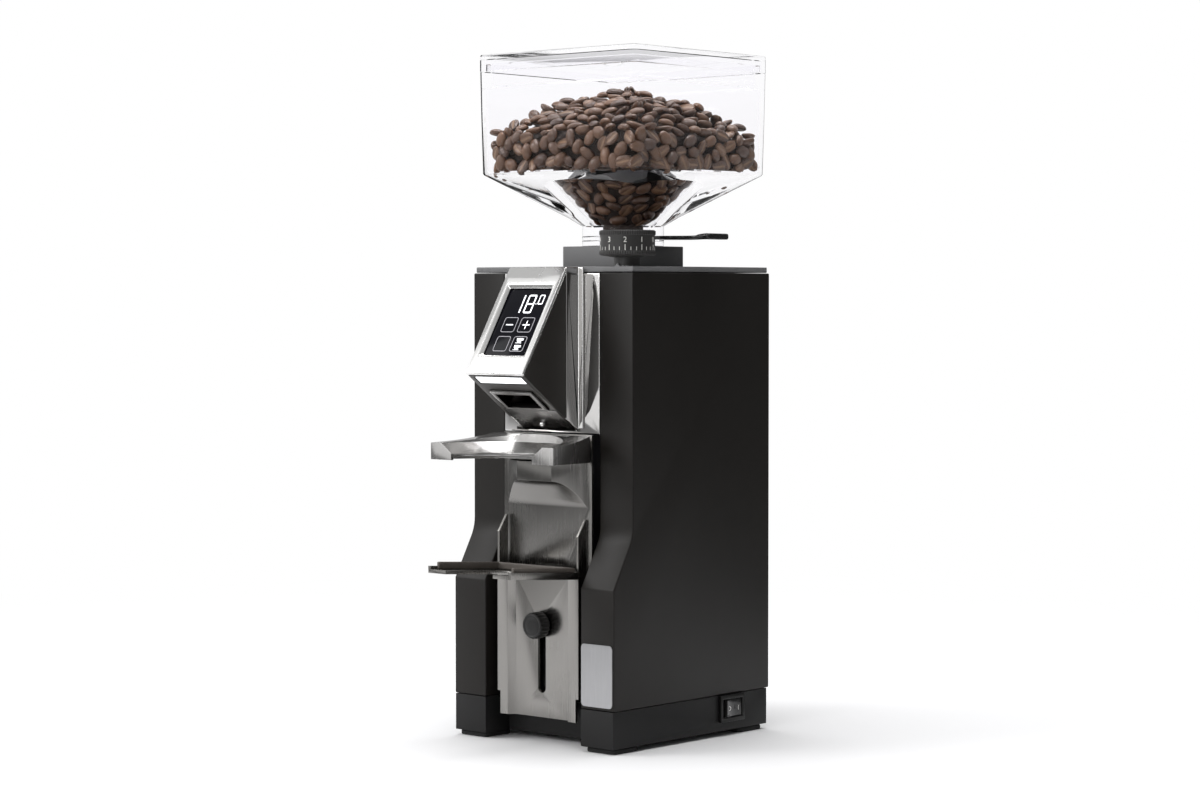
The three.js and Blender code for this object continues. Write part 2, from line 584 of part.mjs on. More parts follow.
function gearShape(x, y, teeth, toothAt) {
  const pitch = (2 * Math.PI) / teeth;
  const tip = pitchRadius(teeth) + 0.8 * GEAR_MODULE;
  const root = pitchRadius(teeth) - 1.15 * GEAR_MODULE;
  const points = [];
  for (let i = 0; i < teeth; i += 1) {
    const middle = toothAt + i * pitch;
    [[root, -0.27], [tip, -0.1], [tip, 0.1], [root, 0.27]].forEach(([r, share]) => {
      const angle = middle + share * pitch;
      points.push([x + r * Math.cos(angle), y + r * Math.sin(angle)]);
    });
  }
  return shapeOf(points);
}

function buildAdjustment() {
  const at = { x: DIAL.x, y: DIAL.y, segments: 48 };
  const r = DIAL.r;
  add('dial', 'plastic', turned([
    [3.3, 266.1], [7.3, 266.1], [7.3, 270.4], [14.6, 271.8], [r, 272.2], [r, 273.6], [r - 0.35, 273.9],
    [r - 0.35, 282.5], [r, 282.8], [r, 284.8], [r - 0.6, 285.3], [0, 285.3], [0, 280], [3.3, 280], [3.3, 266.1],
  ], at));
  add('dial_spindle', 'steel', rod(3, [246.5, 279.7], { ...at, segments: 20 }));

  const gearZ = [254, 260];
  const bore = (radius, x, y) => rod(radius, [gearZ[0] - 5, gearZ[1] + 5], { x, y, segments: 28 });
  add('dial_pinion', 'steel', prismZ(gearShape(DIAL.x, DIAL.y, TEETH.pinion, MESH_ANGLE + Math.PI), gearZ)
    .subtract(bore(3.3, DIAL.x, DIAL.y)));
  const reach = pitchRadius(TEETH.ring) + pitchRadius(TEETH.idler);
  const idler = { x: reach * Math.cos(MESH_ANGLE), y: AXIS_Y + reach * Math.sin(MESH_ANGLE) };
  const halfPitch = Math.PI / TEETH.idler;
  add('idler_gear', 'steel', prismZ(gearShape(idler.x, idler.y, TEETH.idler, MESH_ANGLE + halfPitch), gearZ)
    .subtract(bore(3.4, idler.x, idler.y)));
  add('adjuster_ring', 'alloy', prismZ(gearShape(0, AXIS_Y, TEETH.ring, MESH_ANGLE), gearZ)
    .subtract(bore(30.2, 0, AXIS_Y)));
  return idler;
}

// ---- grinding chamber, burrs and motor -----------------------------------------------------------------
function buildChamber(idler) {
  const [floor, roof] = [205, 252];
  const [outer, inner] = [40, 37.5];
  const port = box([-15, 15], [36.6, 60], [208, 231]);
  const deck = join(box([-57, 57], [35, 131], [246, 250]), box([39, 57], [18, 36], [246, 250]));
  const posts = [90, 210, 330].map((degrees) => {
    const angle = THREE.MathUtils.degToRad(degrees);
    const foot = { x: 31 * Math.cos(angle), y: AXIS_Y + 31 * Math.sin(angle) };
    return rod(4, [190.6, floor + 1], { ...foot, segments: 16 });
  });
  add('grinding_chamber', 'alloy', cut(
    join(rod(outer, [floor, roof]), port, deck, ...posts, rod(3, [248, 261], { ...idler, segments: 20 })),
    rod(inner, [floor + 3, 245.5]),
    rod(31, [240, 260]),
    rod(6, [200, 215]),
    box([-12.8, 12.8], [30, 60], [211.3, 227.7]),
    rod(3.3, [240, 251], { x: DIAL.x, y: DIAL.y, segments: 20 })));

  add('upper_burr_holder', 'alloy', turned([
    [THROAT_R + 0.5, 236.3], [29.8, 236.3], [29.8, 261.8], [THROAT_R + 0.5, 261.8], [THROAT_R + 0.5, 236.3],
  ]));
  const burr = (name, faceZ, backZ) => {
    const teeth = 12;
    const chamfer = faceZ > backZ ? -1 : 1;
    const profile = [
      [16, backZ], [27.5, backZ], [27.5, faceZ], [24, faceZ], [18, faceZ + 2.6 * chamfer], [16, faceZ + 2.9 * chamfer],
      [16, backZ],
    ];
    let ring = turned(faceZ > backZ ? profile : profile.reverse());
    for (let i = 0; i < teeth; i += 1) {
      const groove = new THREE.BoxGeometry(16, 1.4, 1.2);
      groove.translate(22, 4, faceZ + 0.2 * chamfer);
      groove.rotateZ((2 * Math.PI * i) / teeth);
      groove.translate(0, AXIS_Y, 0);
      ring = ring.subtract(solidOf(groove));
    }
    add(name, 'steel', ring);
  };
  burr('upper_burr', 229.8, 236);
  burr('lower_burr', 229, 222.8);

  const vanes = Array.from({ length: 4 }, (_, i) => {
    const vane = new THREE.BoxGeometry(10, 3, 6);
    vane.translate(31, 0, 217.5);
    vane.rotateZ((Math.PI * i) / 2);
    vane.translate(0, AXIS_Y, 0);
    return solidOf(vane);
  });
  add('lower_burr_carrier', 'alloy', cut(
    join(rod(29.5, [214.5, 222.5]), rod(12, [210, 226]), ...vanes), rod(5.3, [200, 230])));
}

function buildMotor() {
  add('motor_housing', 'grey', cut(
    rod(41, [74, 190]), rod(38, [86, 186]), rod(11.3, [76, 90]), rod(11.3, [180, 187.5]), rod(6, [70, 200]),
    ...[-1, 1].map((side) => box(side > 0 ? [30, 50] : [-50, -30], [AXIS_Y - 12, AXIS_Y + 12], [92, 100]))));
  add('motor_stator', 'grey', tube(37.7, 23.4, [105, 160]));
  const winding = (name, [z0, z1]) => add(name, 'copper', turned([
    [25, z0], [34.5, z0], [36, z0 + 2], [36, z1 - 2], [34.5, z1], [25, z1], [25, z0],
  ]));
  winding('stator_winding_lower', [90, 104.7]);
  winding('stator_winding_upper', [160.3, 175]);
  add('motor_rotor', 'steel', tube(22.9, 5.3, [103, 162]));
  add('drive_shaft', 'steel', rod(5, [60, 227]));
  add('motor_bearing_upper', 'steel', tube(11, 5.3, [180.3, 187.2]));
  add('motor_bearing_lower', 'steel', tube(11, 5.3, [76.3, 84]));

  const blades = Array.from({ length: 9 }, (_, i) => {
    const blade = new THREE.BoxGeometry(26, 1.4, 7);
    blade.rotateX(0.6);
    blade.translate(20, 0, 67);
    blade.rotateZ((2 * Math.PI * i) / 9);
    blade.translate(0, AXIS_Y, 0);
    return solidOf(blade);
  });
  add('cooling_fan', 'plastic', cut(join(rod(9, [62.5, 71.5]), ...blades), rod(5.3, [50, 90])));
}

// ---- electrics -------------------------------------------------------------------------------------------
function buildElectrics() {
  add('power_board', 'board', join(
    box([-52, -4], [40, 124], [30, 31.6]), box([-46, -22], [48, 74], [31.6, 48]),
    box([-46, -30], [84, 112], [31.6, 42]), box([-20, -10], [60, 70], [31.6, 44])));
  const can = [[0, 42], [13, 42], [13, 104], [3, 104], [3, 108], [0, 108]];
  add('run_capacitor', 'alloy', turnedY(can, { x: 26, z: 44 }));

  const { y, z, halfY, halfZ } = SWITCH;
  const wall = BODY_HALF - 0.6;
  add('switch_frame', 'plastic', cut(
    join(
      box([wall + GAP, wall + 1.9], [y - halfY, y + halfY], [z - halfZ, z + halfZ]),
      box([wall - 16, wall + 1], [y - 9.2, y + 9.2], [z - 6, z + 6])),
    box([wall - 13, wall + 5], [y - 8.6, y + 8.6], [z - 5.2, z + 5.2])));
  const pivot = new THREE.Vector3(wall - 3, y, z);
  const rocker = new THREE.Shape();
  rocker.moveTo(-3, -7.4);
  rocker.lineTo(5.4, -7.4);
  rocker.quadraticCurveTo(3.4, 0, 5.4, 7.4);
  rocker.lineTo(-3, 7.4);
  rocker.closePath();
  const pressed = new THREE.Matrix4().makeRotationZ(THREE.MathUtils.degToRad(ROCKER_TILT)).setPosition(pivot);
  add('power_rocker', 'gloss', placed(prismZ(rocker, [-4.9, 4.9], 6), pressed));

  const back = BODY_BACK - 1.5;
  add('cord_gland', 'plastic', turnedY([
    [4, 126], [5.9, 126], [5.9, back + GAP], [8.6, back + GAP], [8.6, back + 2], [6.6, EXTENT.back],
    [4, EXTENT.back], [4, 126],
  ], { x: -30, z: 13 }));
  add('leg_label', 'label', prismY(roundedRect(48, 42.6, 11.2, 17.1, 2.2), [-0.6, -GAP], 4));
}

buildBase();
buildSidePanels();
buildRearPanel();
buildTopCover();
buildHead();
buildFrontPanel();
buildLowerFork();
buildUpperFork();
buildHopper();
buildChamber(buildAdjustment());
buildMotor();
buildElectrics();

export default machine;
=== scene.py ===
"""An espresso burr grinder on a pale floor: its finishes, its fine pieces, the light and the camera."""

from __future__ import annotations

import logging
import math
import random
from dataclasses import dataclass, field
from enum import Enum
from typing import Any, Callable, Iterable, Sequence

import bmesh
import bpy
from mathutils import Euler, Matrix, Vector


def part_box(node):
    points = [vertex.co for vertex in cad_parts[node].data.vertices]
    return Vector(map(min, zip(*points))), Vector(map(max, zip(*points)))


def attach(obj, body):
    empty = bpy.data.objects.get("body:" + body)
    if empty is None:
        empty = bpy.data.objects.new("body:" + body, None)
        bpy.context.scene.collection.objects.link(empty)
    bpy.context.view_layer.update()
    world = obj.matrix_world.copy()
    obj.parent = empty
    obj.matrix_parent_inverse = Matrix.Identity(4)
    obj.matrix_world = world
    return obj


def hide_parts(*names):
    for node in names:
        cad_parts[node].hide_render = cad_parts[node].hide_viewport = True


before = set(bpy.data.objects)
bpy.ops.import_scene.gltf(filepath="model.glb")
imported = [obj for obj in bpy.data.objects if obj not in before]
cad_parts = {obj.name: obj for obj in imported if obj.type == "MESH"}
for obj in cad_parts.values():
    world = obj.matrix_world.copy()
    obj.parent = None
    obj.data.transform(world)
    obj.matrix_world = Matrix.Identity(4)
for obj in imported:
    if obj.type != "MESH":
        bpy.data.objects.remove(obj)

log = logging.getLogger("grinder")
MM = 0.001
WHITE = (1.0, 1.0, 1.0, 1.0)
Color = tuple[float, float, float]
Place = tuple[float, float, float]
Span = tuple[float, float]
Row = tuple[float, float, float, float]  # half width, half depth, corner radius, height


# ---- node trees ---------------------------------------------------------------------------


class Graph:
    """A node tree with short ways to add nodes and to join them."""

    def __init__(self, tree: bpy.types.NodeTree) -> None:
        """Wrap a node tree."""
        self.tree = tree

    @classmethod
    def emptied(cls, owner: bpy.types.Material | bpy.types.World) -> Graph:
        """Empty the node tree of a material or a world.

        Args:
            owner: The material or the world.

        Returns:
            Its graph.
        """
        owner.use_nodes = True
        owner.node_tree.nodes.clear()
        return cls(owner.node_tree)

    def add(self, kind: str, inputs: dict[str | int, Any] | None = None,
            **settings: Any) -> bpy.types.Node:
        """Add a node.

        Args:
            kind: Blender's type name of the node, without its ShaderNode prefix.
            inputs: Values or sockets for its inputs; a socket is linked.
            settings: Properties of the node itself.

        Returns:
            The new node.
        """
        node = self.tree.nodes.new("ShaderNode" + kind)
        for name, value in settings.items():
            setattr(node, name, value)
        for key, value in (inputs or {}).items():
            if isinstance(value, bpy.types.NodeSocket):
                self.tree.links.new(value, node.inputs[key])
            else:
                node.inputs[key].default_value = value
        return node

    def spread(self, source: bpy.types.NodeSocket, low: float, high: float) -> bpy.types.NodeSocket:
        """Map a 0 to 1 mask onto a range.

        Args:
            source: The mask.
            low: Value at 0.
            high: Value at 1.

        Returns:
            The mapped value's socket.
        """
        node = self.add("MapRange", {"Value": source, "To Min": low, "To Max": high})
        return node.outputs["Result"]

    def blend(self, mask: Any, first: Any, second: Any) -> bpy.types.NodeSocket:
        """Mix two colours by a mask.

        Args:
            mask: Socket or number, 0 for the first colour.
            first: Colour or socket.
            second: Colour or socket.

        Returns:
            The mixed colour's socket.
        """
        node = self.add("Mix", data_type="RGBA")
        for index, value in ((0, mask), (6, first), (7, second)):
            if isinstance(value, bpy.types.NodeSocket):
                self.tree.links.new(value, node.inputs[index])
            else:
                node.inputs[index].default_value = value
        return node.outputs[2]

    def noise(self, place: bpy.types.NodeSocket, scale: Any, detail: float,
              **more: float) -> bpy.types.NodeSocket:
        """Add a noise texture.

        Args:
            place: The coordinates.
            scale: Its scale, a socket or a number.
            detail: Its detail.
            more: Further inputs, by name.

        Returns:
            The noise's socket.
        """
        return self.add("TexNoise", {"Vector": place, "Scale": scale, "Detail": detail, **more}).outputs[0]

    def bump(self, height: bpy.types.NodeSocket, distance: float,
             strength: float = 1.0) -> bpy.types.NodeSocket:
        """Turn a height into a bumped normal.

        Args:
            height: The height, from 0 to 1.
            distance: What a height of 1 stands for, in metres.
            strength: How much of it shows.

        Returns:
            The normal's socket.
        """
        return self.add("Bump", {"Height": height, "Distance": distance, "Strength": strength}).outputs[0]

    def either_ray(self, first: str, second: str) -> bpy.types.NodeSocket:
        """Tell rays of two kinds from the others.

        Args:
            first: An output of the light path node.
            second: Another.

        Returns:
            A socket that is 1 for rays of either kind.
        """
        rays = self.add("LightPath").outputs
        return self.add("Math", {0: rays[first], 1: rays[second]}, operation="MAXIMUM").outputs[0]


class Effect(Enum):
    """The shader groups that several finishes share."""

    GRAIN = "surface_grain"
    BRUSHING = "brushed_lines"
    HANDLING = "handling_marks"


class Effects:
    """Builds each shared shader group once and places it in materials."""

    _made: dict[Effect, bpy.types.NodeTree] = {}

    @classmethod
    def place(cls, graph: Graph, effect: Effect, **values: Any) -> bpy.types.Node:
        """Place a shared effect in a material.

        Args:
            graph: The material's graph.
            effect: Which effect.
            values: Numbers for the group's inputs, by name.

        Returns:
            The group node.
        """
        if effect not in cls._made:
            maker = {
                Effect.GRAIN: cls._grain,
                Effect.BRUSHING: cls._brushing,
                Effect.HANDLING: cls._handling,
            }[effect]
            cls._made[effect] = maker()
        node = graph.add("Group", node_tree=cls._made[effect])
        for name, value in values.items():
            node.inputs[name].default_value = value
        return node

    @staticmethod
    def _shell(name: str, inputs: Sequence[tuple[str, str, Any]],
               outputs: Sequence[str]) -> tuple[Graph, Any, Any]:
        """Start a group with its sockets.

        Args:
            name: The group's name.
            inputs: Name, socket type and default of each input.
            outputs: Name of each float output.

        Returns:
            Its graph, its input sockets and its output sockets.
        """
        tree = bpy.data.node_groups.new(name, "ShaderNodeTree")
        for label, kind, default in inputs:
            socket = tree.interface.new_socket(label, in_out="INPUT", socket_type=kind)
            socket.default_value = default
        for label in outputs:
            tree.interface.new_socket(label, in_out="OUTPUT", socket_type="NodeSocketFloat")
        start, end = tree.nodes.new("NodeGroupInput"), tree.nodes.new("NodeGroupOutput")
        return Graph(tree), start.outputs, end.inputs

    @classmethod
    def _grain(cls) -> bpy.types.NodeTree:
        """Make the fine pebbling of powder coat or a moulded skin, with slow mottling.

        Returns:
            The group.
        """
        graph, given, sent = cls._shell(
            Effect.GRAIN.value,
            [("Scale", "NodeSocketFloat", 900.0), ("Mottle", "NodeSocketFloat", 25.0)],
            ["Height", "Mask"],
        )
        place = graph.add("TexCoord").outputs["Object"]
        graph.tree.links.new(graph.noise(place, given["Scale"], 2.0, Roughness=0.6), sent["Height"])
        graph.tree.links.new(graph.noise(place, given["Mottle"], 3.0), sent["Mask"])
        return graph.tree

    @classmethod
    def _brushing(cls) -> bpy.types.NodeTree:
        """Make the long parallel scratches of brushed sheet, along the axis with the least stretch.

        Returns:
            The group.
        """
        graph, given, sent = cls._shell(
            Effect.BRUSHING.value,
            [("Stretch", "NodeSocketVector", (2400.0, 2400.0, 30.0)), ("Patch", "NodeSocketFloat", 18.0)],
            ["Height", "Mask"],
        )
        place = graph.add("TexCoord").outputs["Object"]
        stretched = graph.add("VectorMath", {0: place, 1: given["Stretch"]}, operation="MULTIPLY")
        lines = graph.noise(stretched.outputs[0], 1.0, 4.0, Roughness=0.7)
        patches = graph.noise(place, given["Patch"], 2.0)
        both = graph.add("Math", {0: lines, 1: patches}, operation="MULTIPLY")
        shown = graph.add("MapRange", {"Value": both.outputs[0], "From Min": 0.1, "From Max": 0.45})
        graph.tree.links.new(lines, sent["Height"])
        graph.tree.links.new(shown.outputs[0], sent["Mask"])
        return graph.tree

    @classmethod
    def _handling(cls) -> bpy.types.NodeTree:
        """Make faint smears and wiping marks, which dull a polished surface in patches.

        Returns:
            The group.
        """
        graph, given, sent = cls._shell(
            Effect.HANDLING.value,
            [("Scale", "NodeSocketFloat", 40.0), ("Amount", "NodeSocketFloat", 1.0)],
            ["Mask"],
        )
        place = graph.add("TexCoord").outputs["Object"]
        bent = graph.noise(place, given["Scale"], 5.0, Distortion=1.2)
        shown = graph.add("MapRange", {"Value": bent, "From Min": 0.45, "From Max": 0.75})
        amount = graph.add("Math", {0: shown.outputs[0], 1: given["Amount"]}, operation="MULTIPLY")
        graph.tree.links.new(amount.outputs[0], sent["Mask"])
        return graph.tree


# ---- finishes -----------------------------------------------------------------------------


@dataclass(frozen=True)
class Finish:
    """A solid finish with fine grain: coated metal, moulded plastic or rubber."""

    name: str
    color: Color
    roughness: float = 0.5
    metallic: float = 0.0
    grain: float = 900.0
    grain_depth: float = 0.00004
    mottle: float = 25.0
    tone: float = 0.12
    rough_spread: float = 0.06
    specular: float = 0.5

    def material(self) -> bpy.types.Material:
        """Find this finish's material, or make it the first time.

        Returns:
            The material.
        """
        title = f"finish_{self.name}"
        known = bpy.data.materials.get(title)
        if known:
            return known
        made = bpy.data.materials.new(title)
        made.diffuse_color = (*self.color, 1.0)
        self.dress(Graph.emptied(made))
        return made

    def tones(self) -> tuple[tuple[float, ...], tuple[float, ...]]:
        """Work out how far the colour strays.

        Returns:
            The darkest and the lightest tone, with alpha.
        """
        dark = tuple(c * (1 - self.tone) for c in self.color)
        light = tuple(min(1.0, c * (1 + self.tone)) for c in self.color)
        return (*dark, 1.0), (*light, 1.0)

    def principled(self, graph: Graph, inputs: dict[str, Any]) -> bpy.types.Node:
        """Add the surface shader and the material's output.

        Args:
            graph: The material's graph.
            inputs: Values or sockets for the shader.

        Returns:
            The shader node.
        """
        shader = graph.add("BsdfPrincipled", inputs)
        graph.add("OutputMaterial", {"Surface": shader.outputs[0]})
        return shader

    def dress(self, graph: Graph) -> None:
        """Build the node tree.

        Args:
            graph: The material's empty graph.
        """
        grain = Effects.place(graph, Effect.GRAIN, Scale=self.grain, Mottle=self.mottle)
        dark, light = self.tones()
        low, high = self.roughness - self.rough_spread, self.roughness + self.rough_spread
        self.principled(graph, {
            "Base Color": graph.blend(grain.outputs["Mask"], dark, light),
            "Roughness": graph.spread(grain.outputs["Mask"], low, high),
            "Metallic": self.metallic,
            "Specular IOR Level": self.specular,
            "Normal": graph.bump(grain.outputs["Height"], self.grain_depth),
        })


@dataclass(frozen=True)
class Brushed(Finish):
    """Brushed or ground metal, with fine lines along one axis."""

    stretch: Place = (2400.0, 2400.0, 30.0)
    anisotropic: float = 0.5
    metallic: float = 1.0
    patch: float = 18.0
    wear: float = 0.08

    def dress(self, graph: Graph) -> None:
        """Build the node tree.

        Args:
            graph: The material's empty graph.
        """
        lines = Effects.place(graph, Effect.BRUSHING, Stretch=self.stretch, Patch=self.patch)
        marks = Effects.place(graph, Effect.HANDLING, Scale=30.0, Amount=0.5)
        dark, light = self.tones()
        low, high = self.roughness - self.rough_spread, self.roughness + self.rough_spread
        rough = graph.spread(lines.outputs["Mask"], low, high)
        wear = graph.spread(marks.outputs["Mask"], 0.0, self.wear)
        worn = graph.add("Math", {0: rough, 1: wear}, operation="ADD")
        self.principled(graph, {
            "Base Color": graph.blend(lines.outputs["Mask"], dark, light),
            "Roughness": worn.outputs[0],
            "Metallic": self.metallic,
            "Anisotropic": self.anisotropic,
            "Normal": graph.bump(lines.outputs["Height"], self.grain_depth),
        })


@dataclass(frozen=True)
class Polished(Finish):
    """Polished metal or gloss plastic, dulled a little by handling."""

    marks: float = 40.0
    ripple: float = 0.00002

    def dress(self, graph: Graph) -> None:
        """Build the node tree.

        Args:
            graph: The material's empty graph.
        """
        marks = Effects.place(graph, Effect.HANDLING, Scale=self.marks, Amount=1.0)
        grain = Effects.place(graph, Effect.GRAIN, Scale=self.grain, Mottle=self.mottle)
        dark, light = self.tones()
        rougher = self.roughness + self.rough_spread
        self.principled(graph, {
            "Base Color": graph.blend(marks.outputs["Mask"], light, dark),
            "Roughness": graph.spread(marks.outputs["Mask"], self.roughness, rougher),
            "Metallic": self.metallic,
            "Specular IOR Level": self.specular,
            "Normal": graph.bump(grain.outputs["Mask"], self.ripple),
        })


@dataclass(frozen=True)
class Clear(Finish):
    """Clear moulded plastic that lets the lamps' light through to what it holds."""

    ior: float = 1.16
    tint: Color = (0.97, 0.97, 0.98)

    def dress(self, graph: Graph) -> None:
        """Build the node tree.

        Args:
            graph: The material's empty graph.
        """
        marks = Effects.place(graph, Effect.HANDLING, Scale=22.0, Amount=1.0)
        rougher = self.roughness + self.rough_spread
        shader = graph.add("BsdfPrincipled", {
            "Base Color": (*self.color, 1.0),
            "Roughness": graph.spread(marks.outputs["Mask"], self.roughness, rougher),
            "Transmission Weight": 1.0,
            "IOR": self.ior,
        })
        open_way = graph.add("BsdfTransparent", {"Color": (*self.tint, 1.0)})
        lamps = graph.either_ray("Is Shadow Ray", "Is Diffuse Ray")
        mixed = graph.add("MixShader", {0: lamps, 1: shader.outputs[0], 2: open_way.outputs[0]})
        graph.add("OutputMaterial", {"Surface": mixed.outputs[0]})


@dataclass(frozen=True)
class Glow(Finish):
    """A lit surface: the lamp's diffuser or a lit sign."""

    strength: float = 2.0

    def dress(self, graph: Graph) -> None:
        """Build the node tree.

        Args:
            graph: The material's empty graph.
        """
        grain = Effects.place(graph, Effect.GRAIN, Scale=self.grain, Mottle=self.mottle)
        dark, light = self.tones()
        shade = graph.blend(grain.outputs["Mask"], dark, light)
        self.principled(graph, {
            "Base Color": (*self.color, 1.0),
            "Roughness": self.roughness,
            "Emission Color": shade,
            "Emission Strength": self.strength,
        })


@dataclass(frozen=True)
class Roast(Finish):
    """Roasted beans: each its own brown, with a pale seam and a slight oily sheen."""

    light: Color = (0.21, 0.105, 0.052)
    seam: Color = (0.3, 0.185, 0.11)
    crumble: float = 0.0003

    def dress(self, graph: Graph) -> None:
        """Build the node tree.

        Args:
            graph: The material's empty graph.
        """
        tone = graph.add("Attribute", attribute_name="tone").outputs["Fac"]
        seam = graph.add("Attribute", attribute_name="seam").outputs["Fac"]
        grain = Effects.place(graph, Effect.GRAIN, Scale=2600.0, Mottle=380.0)
        body = graph.blend(tone, (*self.color, 1.0), (*self.light, 1.0))
        mottled = graph.blend(graph.spread(grain.outputs["Mask"], 0.0, 0.5), body, (*self.color, 1.0))
        self.principled(graph, {
            "Base Color": graph.blend(seam, mottled, (*self.seam, 1.0)),
            "Roughness": graph.spread(grain.outputs["Mask"], 0.3, 0.55),
            "Specular IOR Level": 0.55,
            "Normal": graph.bump(grain.outputs["Mask"], self.crumble, 0.7),
        })


POWDER_BLACK = Finish("powder_black", (0.0098, 0.0082, 0.007), 0.46, grain=1500.0,
                      grain_depth=0.00002, specular=0.28)
BASE_BLACK = Finish("base_black", (0.0085, 0.0082, 0.0084), 0.5, grain=1100.0, grain_depth=0.00003,
                    specular=0.28)
COVER_GREY = Finish("cover_grey", (0.19, 0.19, 0.194), 0.46, grain=1500.0, grain_depth=0.00002)
HEAD_BLACK = Finish("head_black", (0.024, 0.0215, 0.019), 0.38, grain=1400.0, grain_depth=0.00002)
MOULDED_BLACK = Finish("moulded_black", (0.0085, 0.0083, 0.008), 0.4, grain=800.0, specular=0.35)
DIAL_BLACK = Finish("dial_black", (0.032, 0.031, 0.03), 0.45, grain=1200.0, grain_depth=0.00002)
RUBBER = Finish("soft_rubber", (0.02, 0.02, 0.02), 0.8, grain=600.0, grain_depth=0.00006, specular=0.3)
LINER = Finish("liner_rubber", (0.115, 0.1, 0.088), 0.5, grain=700.0, grain_depth=0.00004)
BOARD = Finish("circuit_board", (0.02, 0.12, 0.05), 0.55)
COPPER = Brushed("winding_copper", (0.6, 0.24, 0.1), 0.35, stretch=(60.0, 60.0, 2600.0))
STEEL = Brushed("brushed_steel", (0.235, 0.229, 0.22), 0.25, tone=0.16, grain_depth=0.00001)
FORK_STEEL = Brushed("fork_steel", (0.6, 0.59, 0.58), 0.24, tone=0.1, grain_depth=0.000006, anisotropic=0.3)
BRACKET_STEEL = Brushed("bracket_steel", (0.29, 0.281, 0.268), 0.25, tone=0.12,
                        grain_depth=0.00001, anisotropic=0.3)
TOOL_STEEL = Brushed("tool_steel", (0.42, 0.42, 0.43), 0.3, stretch=(700.0, 700.0, 700.0))
CAST = Finish("cast_alloy", (0.5, 0.5, 0.52), 0.45, metallic=1.0, grain=700.0, grain_depth=0.00012)
MOTOR = Finish("motor_paint", (0.05, 0.05, 0.055), 0.4)
MIRROR = Polished("mirror_chrome", (0.8, 0.79, 0.78), 0.05, metallic=1.0, rough_spread=0.07,
                  tone=0.04, mottle=9.0,
                  ripple=0.0008)
DARK_STEEL = Polished("dark_steel", (0.2, 0.195, 0.19), 0.2, metallic=1.0, rough_spread=0.12, tone=0.08)
SATIN_CHROME = Polished("satin_chrome", (0.86, 0.855, 0.845), 0.24, metallic=1.0, rough_spread=0.1,
                        tone=0.03)
POLISHED_STEEL = Polished("polished_steel", (0.7, 0.695, 0.69), 0.14, metallic=1.0,
                          rough_spread=0.12, tone=0.06,
                          mottle=30.0, ripple=0.0002)
DISPLAY = Polished("display_gloss", (0.0045, 0.0045, 0.007), 0.08, rough_spread=0.08, specular=0.05)
GLOSS_BLACK = Polished("gloss_black", (0.009, 0.009, 0.009), 0.12, rough_spread=0.1)
LABEL = Brushed("label_foil", (0.42, 0.42, 0.43), 0.34, stretch=(1500.0, 1500.0, 60.0), tone=0.08)
CLEAR = Clear("clear_plastic", (0.985, 0.982, 0.995), 0.015, rough_spread=0.02)
BEAN = Roast("roasted_bean", (0.055, 0.024, 0.012), 0.4)
# painted shade: the bean core's dark brown stands for the deeper beans lying in shade between the visible
# ones
BEAN_SHADE_MASS = Finish("bean_shadow", (0.02, 0.01, 0.006), 0.8, grain=300.0, grain_depth=0.001)
LAMP = Glow("lamp_diffuser", (0.93, 0.96, 1.0), 0.5, tone=0.06, mottle=60.0, strength=1.6)
SIGN = Glow("display_sign", (0.95, 0.96, 1.0), 0.5, tone=0.02, strength=1.1)
SIGN_DIM = Glow("display_outline", (0.36, 0.35, 0.38), 0.5, tone=0.05, strength=0.45)
MARK = Finish("white_mark", (0.85, 0.84, 0.8), 0.6, tone=0.15, mottle=300.0)


# ---- meshes -------------------------------------------------------------------------------


def polish_edges(piece: bpy.types.Object, width: float, segments: int = 3, angle: float = 28.0) -> None:
    """Round the sharp edges of a piece with modifiers.

    Args:
        piece: A mesh object; a CAD solid is welded and its flat facets merged first.
        width: Width of the rounding in metres.
        segments: Steps of the rounding.
        angle: Edges sharper than this, in degrees, are rounded.
    """
    weld = piece.modifiers.new("weld", "WELD")
    weld.merge_threshold = 1e-6
    flat = piece.modifiers.new("flats", "DECIMATE")
    flat.decimate_type = "DISSOLVE"
    flat.angle_limit = math.radians(0.6)
    bevel = piece.modifiers.new("edges", "BEVEL")
    bevel.width = width
    bevel.segments = segments
    bevel.limit_method = "ANGLE"
    bevel.angle_limit = math.radians(angle)
    bevel.harden_normals = True
    bevel.use_clamp_overlap = True
    piece.data.polygons.foreach_set("use_smooth", [True] * len(piece.data.polygons))


def dress(node: str, finish: Finish, edge: float = 0.0, segments: int = 3,
          angle: float = 28.0) -> bpy.types.Object:
    """Give a CAD node its finish and rounded edges.

    Args:
        node: The node's name.
        finish: Its finish.
        edge: Width of its edge rounding in metres, or 0 for none.
        segments: Steps of the rounding.
        angle: Edges sharper than this, in degrees, are rounded.

    Returns:
        The node's object.
    """
    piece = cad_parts[node]
    piece.data.materials.clear()
    piece.data.materials.append(finish.material())
    if edge > 0:
        polish_edges(piece, edge, segments, angle)
    log.info("%s: %s", node, finish.name)
    return piece


